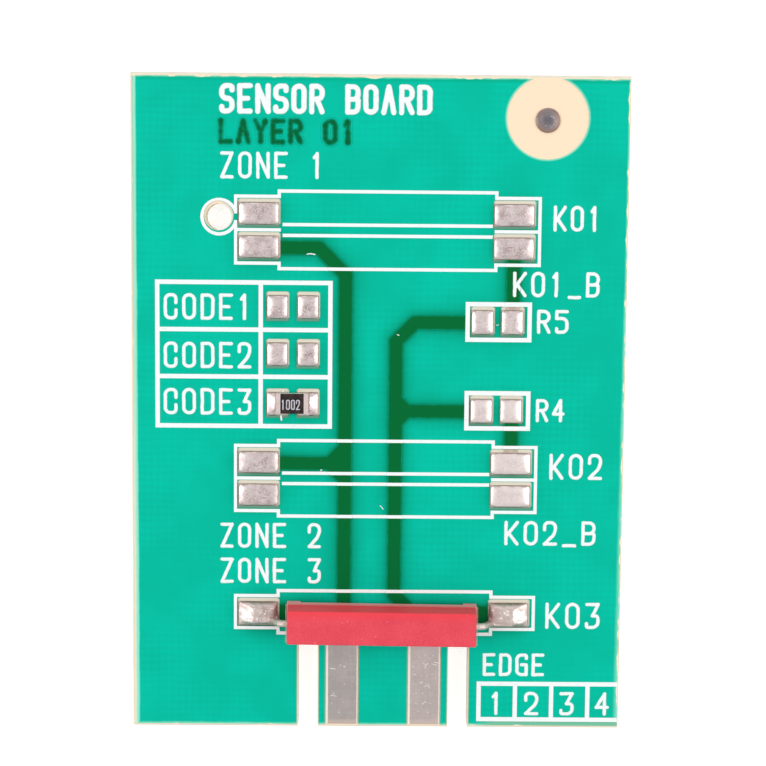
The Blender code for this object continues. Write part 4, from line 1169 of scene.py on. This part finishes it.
@dataclass
class Cushion:
    """Solder that stands on one pad as a low pillow and replaces the pad's plain solid.

    A point keeps its place on the pad, from -1 at the inner edge to 1 at the outer one, for the finish.
    """

    node: str
    finishes: Finishes
    slot: Slot = Slot.TIN
    look: Slot = Slot.TIN
    side: int = 1
    columns: int = 44
    rows: int = 28
    squareness: float = 8.0
    ragged: float = 0.012
    ragged_often: float = 2.6
    skirt: float = 0.02
    across_power: float = 4.4
    up_power: float = 5.0
    lump: float = 0.05
    centre: Vector = field(init=False)
    half: Vector = field(init=False)
    rise: float = field(init=False)

    def __post_init__(self) -> None:
        """Measure the solid that it replaces."""
        low, high = span(self.node)
        self.centre = (low + high) / 2
        self.half = (high - low) / 2
        self.rise = high.z - low.z

    def build(self) -> None:
        """Make the solder."""
        form = bmesh.new()
        bmesh.ops.create_grid(form, x_segments=self.columns, y_segments=self.rows, size=1.0)
        rim = [edge for edge in form.edges if edge.is_boundary]
        places = form.verts.layers.float_vector.new(PAD_PLACE)
        for vertex in form.verts:
            vertex[places] = Vector((vertex.co.x * self.side, vertex.co.y, 0.0))
            vertex.co = self.top(vertex.co.x, vertex.co.y)
        for item in bmesh.ops.extrude_edge_only(form, edges=rim)["geom"]:
            if isinstance(item, BMVert):
                item.co.z = self.centre.z - self.half.z
        bmesh.ops.holes_fill(form, edges=form.edges, sides=0)
        bmesh.ops.recalc_face_normals(form, faces=form.faces)
        piece = add_piece(f"{self.node}_poured", form, self.finishes.slots[self.look])
        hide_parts(self.node)

    def top(self, u: float, w: float) -> Vector:
        """Place of a point of the solder's upper side.

        Args:
            u: Place across the pad, from -1 to 1.
            w: Place up the pad, from -1 to 1.

        Returns:
            The point.
        """
        reach = (abs(u) ** self.squareness + abs(w) ** self.squareness) ** (1 / self.squareness)
        round_in = max(abs(u), abs(w)) / reach if reach else 1.0
        u *= round_in
        w *= round_in
        often, layer = self.ragged_often, self.centre.x + self.centre.y
        pulled = 1 - self.ragged * (0.5 + noise.noise(Vector((u * often, w * often, layer))))
        x = self.centre.x + self.half.x * u * pulled
        y = self.centre.y + self.half.y * w * pulled
        swell = self.swell(Spot(u, w, x, y))
        return Vector((x, y, self.centre.z - self.half.z + self.skirt + (self.rise - self.skirt) * swell))

    def swell(self, at: Spot) -> float:
        """Share of the full height at a point.

        Args:
            at: The point's place.

        Returns:
            The share, from 0 to 1.
        """
        crown = (1 - abs(at.u) ** self.across_power) * (1 - abs(at.w) ** self.up_power)
        uneven = at.lumps(1.7, 3.0) + 0.4 * at.lumps(6, 8.0)
        return held(crown * (0.94 + self.lump * uneven))


@dataclass
class LeadJoint(Cushion):
    """A taller joint of solder that wets one lead of the reed switch."""

    slot: Slot = Slot.JOINT
    look: Slot = Slot.JOINT
    columns: int = 60
    rows: int = 40
    lead_y: float = -13.27
    lead_half: float = 0.30
    lead_to: float = 0.44
    cover: float = 1.07
    lead_end: float = 0.54
    lead_height: float = 0.985
    crown: float = 0.92
    film: float = 0.15
    sag: float = 0.10
    fall_from: float = 0.20
    fall_to: float = 0.90
    inner_power: float = 12
    outer_power: float = 14

    def __post_init__(self) -> None:
        """Let the solder stand just over the lead's back."""
        super().__post_init__()
        self.rise *= self.cover

    def swell(self, at: Spot) -> float:
        """Share of the full height at a point: a mound with the lead's back along its lower side.

        Args:
            at: The point's place.

        Returns:
            The share, from 0 to 1.
        """
        out = self.side * at.u
        inward, outward = max(0.0, -out), max(0.0, out)
        fall = held((out - self.fall_from) / (self.fall_to - self.fall_from))
        slope = (fall + fall * fall * (3 - 2 * fall)) / 2
        mound = self.crown - (self.crown - self.film) * slope - self.sag * inward**1.7
        mound *= 1 - abs(at.w) ** (3.4 + 6.0 * fall)
        mound *= (1 - inward**self.inner_power) * (1 - outward**self.outer_power)
        lead = self.lead_height * math.exp(-(((at.y - self.lead_y) / self.lead_half) ** 2))
        lead *= (1 - abs(at.w) ** 9) * (1 - held((out - self.lead_to) / self.lead_end) ** 1.15)
        uneven = at.lumps(1.6, 5.0) * 0.05 + at.lumps(4.5, 2.0) * 0.025
        joined = (max(0.0, mound) ** 5 + max(0.0, lead) ** 5) ** 0.2
        return held(joined * (1 + uneven))


@dataclass
class ChipFillet(Cushion):
    """Solder that climbs one end of the chip resistor."""

    slot: Slot = Slot.JOINT
    columns: int = 40
    rows: int = 30
    cap_gap: float = 0.01
    climb_share: float = 0.62
    under_chip: float = 0.03

    def swell(self, at: Spot) -> float:
        """Share of the full height at a point: a full slope up to the chip's end, low under the chip.

        Args:
            at: The point's place.

        Returns:
            The share, from 0 to 1.
        """
        low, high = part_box(f"chip_cap_{'left' if self.side < 0 else 'right'}")
        face = (low if self.side < 0 else high)[0] / MM
        outer = self.centre.x + self.side * self.half.x
        climb = (at.x - outer) / (face + self.side * self.cap_gap - outer)
        if climb > 1.0:
            return self.under_chip
        bulge = 1 - abs(at.w) ** 3.5
        return self.climb_share * bulge * (1 - (1 - max(0.0, climb)) ** 1.25)


@dataclass
class Solder:
    """All the solder of the board."""

    finishes: Finishes

    def build(self) -> None:
        """Pour every cushion, both joints and both fillets."""
        square = {"columns": 28, "rows": 30, "across_power": 3.0}
        for side, name in ((-1, "left"), (1, "right")):
            for row in ("1a", "1b", "2a", "2b"):
                Cushion(f"solder_reed_{row}_{name}", self.finishes).build()
            for place in ("code_1", "code_2", "load_1", "load_2"):
                Cushion(f"solder_{place}_{name}", self.finishes, **square).build()
            LeadJoint(f"solder_reed_3_{name}", self.finishes, side=side).build()
            ChipFillet(f"solder_code_3_{name}", self.finishes, side=side).build()


@dataclass(frozen=True)
class Scar:
    """A scratch, speck or drip of ink: the places that it runs through, its width and its height."""

    places: tuple[Place, ...]
    width: float
    rise: float = 0.012


@dataclass(frozen=True)
class Scratches:
    """Scratches on an edge finger: how many short ones, the start of their scatter, and the long ones."""

    count: int
    seed: float
    long: tuple[tuple[Place, ...], ...]


@dataclass
class Wear:
    """Small flaws that the photograph shows."""

    finishes: Finishes
    rise: float = 0.005
    long_radius: float = 0.022
    full_radius: float = 0.024
    corner: Place = (0.25, 0.35)
    field_size: Pair = (1.3, 4.1)
    spread: Pair = (0.7548777, 0.5698403)
    thinnest: float = 0.010
    thicker: float = 0.006
    SCARS = {
        "smear_bend": Scar(((-4.40, 9.24), (-4.25, 9.27), (-4.08, 9.26), (-3.92, 9.22)), 0.07),
        "speck_lower": Scar(((-3.50, -3.94), (-3.46, -3.92)), 0.09),
        "drip_under_chip": Scar(((-5.94, -0.52), (-5.93, -0.70), (-5.90, -0.83)), 0.13, 0.03),
        "dot_over_chip": Scar(((-5.83, 0.90), (-5.80, 0.90)), 0.12, 0.10),
        "scratch_middle": Scar(((0.16, -6.10), (0.27, -6.20), (0.36, -6.32)), 0.05),
        "nick_middle": Scar(((1.10, 4.40), (1.20, 4.37)), 0.06),
        "hair_load_2": Scar(((7.10, 5.08), (7.20, 5.02), (7.27, 5.10)), 0.03),
    }
    LEFT = (((-2.86, -16.30), (-2.52, -16.34)), ((-2.80, -18.02), (-2.46, -18.05)))
    RIGHT = (
        ((2.92, -15.93), (3.05, -16.10), (3.20, -15.94)),
        ((3.05, -16.10), (3.02, -16.26)),
        ((3.42, -15.98), (3.74, -16.05)),
        ((3.58, -15.88), (3.88, -15.93)),
        ((2.98, -17.42), (3.24, -17.30), (3.30, -17.48)),
    )

    def build(self) -> None:
        """Lay every flaw on the surface."""
        mask = Lettering(self.finishes, Surface("solder_mask", 1.645), waver=0.03, swell=0.3)
        for name, scar in self.SCARS.items():
            radius = scar.width / 2
            mask.lay(name, [mask.dots(flat(scar.places), radius)], (scar.rise, radius))
        self.scratch_finger("tin_finger_left", Scratches(9, 4.0, self.LEFT))
        self.scratch_finger("tin_finger_right", Scratches(30, 11.0, self.RIGHT))

    def scratch_finger(self, finger: str, scratches: Scratches) -> None:
        """Scatter short bright scratches over an edge finger, among a few long ones.

        Args:
            finger: The finger's node.
            scratches: Its scratches.
        """
        board = Lettering(self.finishes, Surface(finger, 1.675), waver=0.02, swell=0.4)
        seed = scratches.seed
        low, _ = span(finger)
        (left, foot), (width, height) = self.corner, self.field_size
        strokes = [board.dots(flat(places), self.long_radius) for places in scratches.long]
        for number in range(scratches.count):
            stray = 0.2 * noise.noise(Vector((number, seed, 0.5)))
            across = (number * self.spread[0] + seed * 0.17 + stray) % 1.0
            up = (number * self.spread[1] + seed * 0.31) % 1.0
            lean = noise.noise(Vector((number * 5.3, 2.0, seed)))
            start = Vector((low.x + left + width * across, low.y + foot + height * up, 0))
            end = start + Vector((0.05 + 0.7 * lean * lean, 0.18 * lean, 0))
            strokes.append(board.dots([start, end], self.thinnest + self.thicker * (number % 3)))
        scratch = self.finishes.pieces["scratch"]
        board.lay(f"{finger}_scratches", strokes, (self.rise, self.full_radius), Slot.TIN, scratch)


@dataclass
class Flash:
    """Thin seam that the mould left round the red body at the height of its leads."""

    finishes: Finishes
    centre: Place = (0.30, -13.26)
    level: float = 2.88
    half_length: float = 5.85
    half_width: float = 1.16
    turn: float = math.radians(-0.5)
    width: float = 0.03

    def build(self) -> None:
        """Run the seam round the body."""
        board = Lettering(self.finishes, waver=0.004, swell=0.5)
        spin = Matrix.Rotation(self.turn, 3, "Z")
        x, y = self.half_length, self.half_width
        middle, *corners = flat((self.centre, (-x, y), (x, y), (x, -y), (-x, -y), (-x, y)))
        sides = pairwise([middle + spin @ corner for corner in corners])
        form = board.tubes("moulding_seam", [board.dots(list(side), self.width / 2) for side in sides])
        bmesh.ops.translate(form, vec=(0, 0, self.level), verts=form.verts)
        add_piece("moulding_seam", form, self.finishes.slots[Slot.MOULDING])


@dataclass
class Board:
    """Laminate, mask, copper, tin and ink that keep their solids."""

    finishes: Finishes

    def build(self) -> None:
        """Give every carried-over solid its finish."""
        for entry in frame["record"]["subparts"]:
            name = entry["node"]
            finish = self.finishes.pieces.get(name, self.finishes.slots[Slot(entry["material_slot"])])
            for place in frame["nodes"][name].material_slots:
                place.material = finish
            LOG.info("dressed %s", name)


@dataclass(frozen=True)
class Lamp:
    """A soft lamp: where it hangs, how bright its face is, and its two sides in metres."""

    name: str
    way: Triple
    glow: float
    size: Pair


@dataclass
class Studio:
    """White table, soft lamps round a light tent and the camera."""

    focal: float = 1700.0
    frame_side: float = 766.0
    sensor: float = 36.0
    turn: Triple = (0.0945, 0.00771, -0.00786)
    offset: Triple = (-0.293, -1.295, -105.341)
    table_side: float = 900.0
    table_white: float = 0.6
    table_glow: float = 0.68
    tent: float = 0.60
    lamp_reach: float = 0.24
    lamps: tuple[Lamp, ...] = (
        Lamp("soft_left", (-1, 0.1, 1), 2.1, (0.15, 0.20)),
        Lamp("soft_right", (1, 0.1, 1), 2.1, (0.15, 0.20)),
        Lamp("soft_top", (0, 1, 0.5), 0.9, (0.20, 0.10)),
    )

    def build(self) -> None:
        """Set up the whole studio."""
        self.table()
        self.tent_light()
        for lamp in self.lamps:
            self.hang(lamp)
        self.camera()

    def table(self) -> None:
        """Lay a white table that keeps its shadow and shows white to the camera."""
        form = bmesh.new()
        bmesh.ops.create_grid(form, x_segments=1, y_segments=1, size=self.table_side * MM / 2)
        mesh = mesh_of("white_table", form)
        table = put("white_table", mesh)
        graph = Graph("white_table_finish")
        white = (self.table_white,) * 3
        diffuse = graph.add("ShaderNodeBsdfDiffuse", {"Color": (*white, 1.0)})
        glow = graph.add("ShaderNodeEmission", {"Color": (1, 1, 1, 1), "Strength": self.table_glow})
        both = graph.add("ShaderNodeAddShader", {0: diffuse, 1: glow})
        shown = graph.add("ShaderNodeMixShader", {0: graph.seen(), 1: diffuse, 2: both})
        mesh.materials.append(graph.end(shown))

    def tent_light(self) -> None:
        """Set the even light of the tent, which shows white to the camera and in metal."""
        world = bpy.data.worlds.new("light_tent")
        bpy.context.scene.world = world
        graph = Graph("light_tent", world)
        sockets = {"Color": (1.0, 1.0, 1.0, 1.0), "Strength": graph.seen() * (1 - self.tent) + self.tent}
        graph.end(graph.add("ShaderNodeBackground", sockets), "ShaderNodeOutputWorld")

    def hang(self, lamp: Lamp) -> None:
        """Hang one soft lamp, facing the board.

        Args:
            lamp: The lamp.
        """
        light = bpy.data.lights.new(lamp.name, "AREA")
        light.shape = "RECTANGLE"
        light.size, light.size_y = lamp.size
        light.energy = lamp.glow * math.pi * light.size * light.size_y
        place = Vector(lamp.way).normalized() * self.lamp_reach
        facing = place.to_track_quat("Z", "Y").to_matrix().to_4x4()
        put(lamp.name, light).matrix_world = Matrix.Translation(place) @ facing

    def camera(self) -> None:
        """Place the camera where the photograph was taken."""
        back = Euler(self.turn).to_matrix().transposed()
        data = bpy.data.cameras.new("photo_camera")
        data.sensor_width = self.sensor
        data.lens = self.sensor * self.focal / self.frame_side
        data.clip_start = 0.002
        data.clip_end = 5.0
        camera = put("photo_camera", data)
        camera.matrix_world = Matrix.Translation(back @ -Vector(self.offset) * MM) @ back.to_4x4()
        bpy.context.scene.camera = camera


def main() -> None:
    """Build the board and its studio."""
    logging.basicConfig(level=logging.INFO, format="%(name)s %(message)s")
    bpy.context.scene.view_settings.view_transform = "Standard"
    noise.seed_set(NOISE_SEED)
    finishes = Finishes()
    for part in (Board, Solder, Flash, Legend, Wear):
        part(finishes).build()
    Studio().build()


if __name__ == "__main__":
    main()
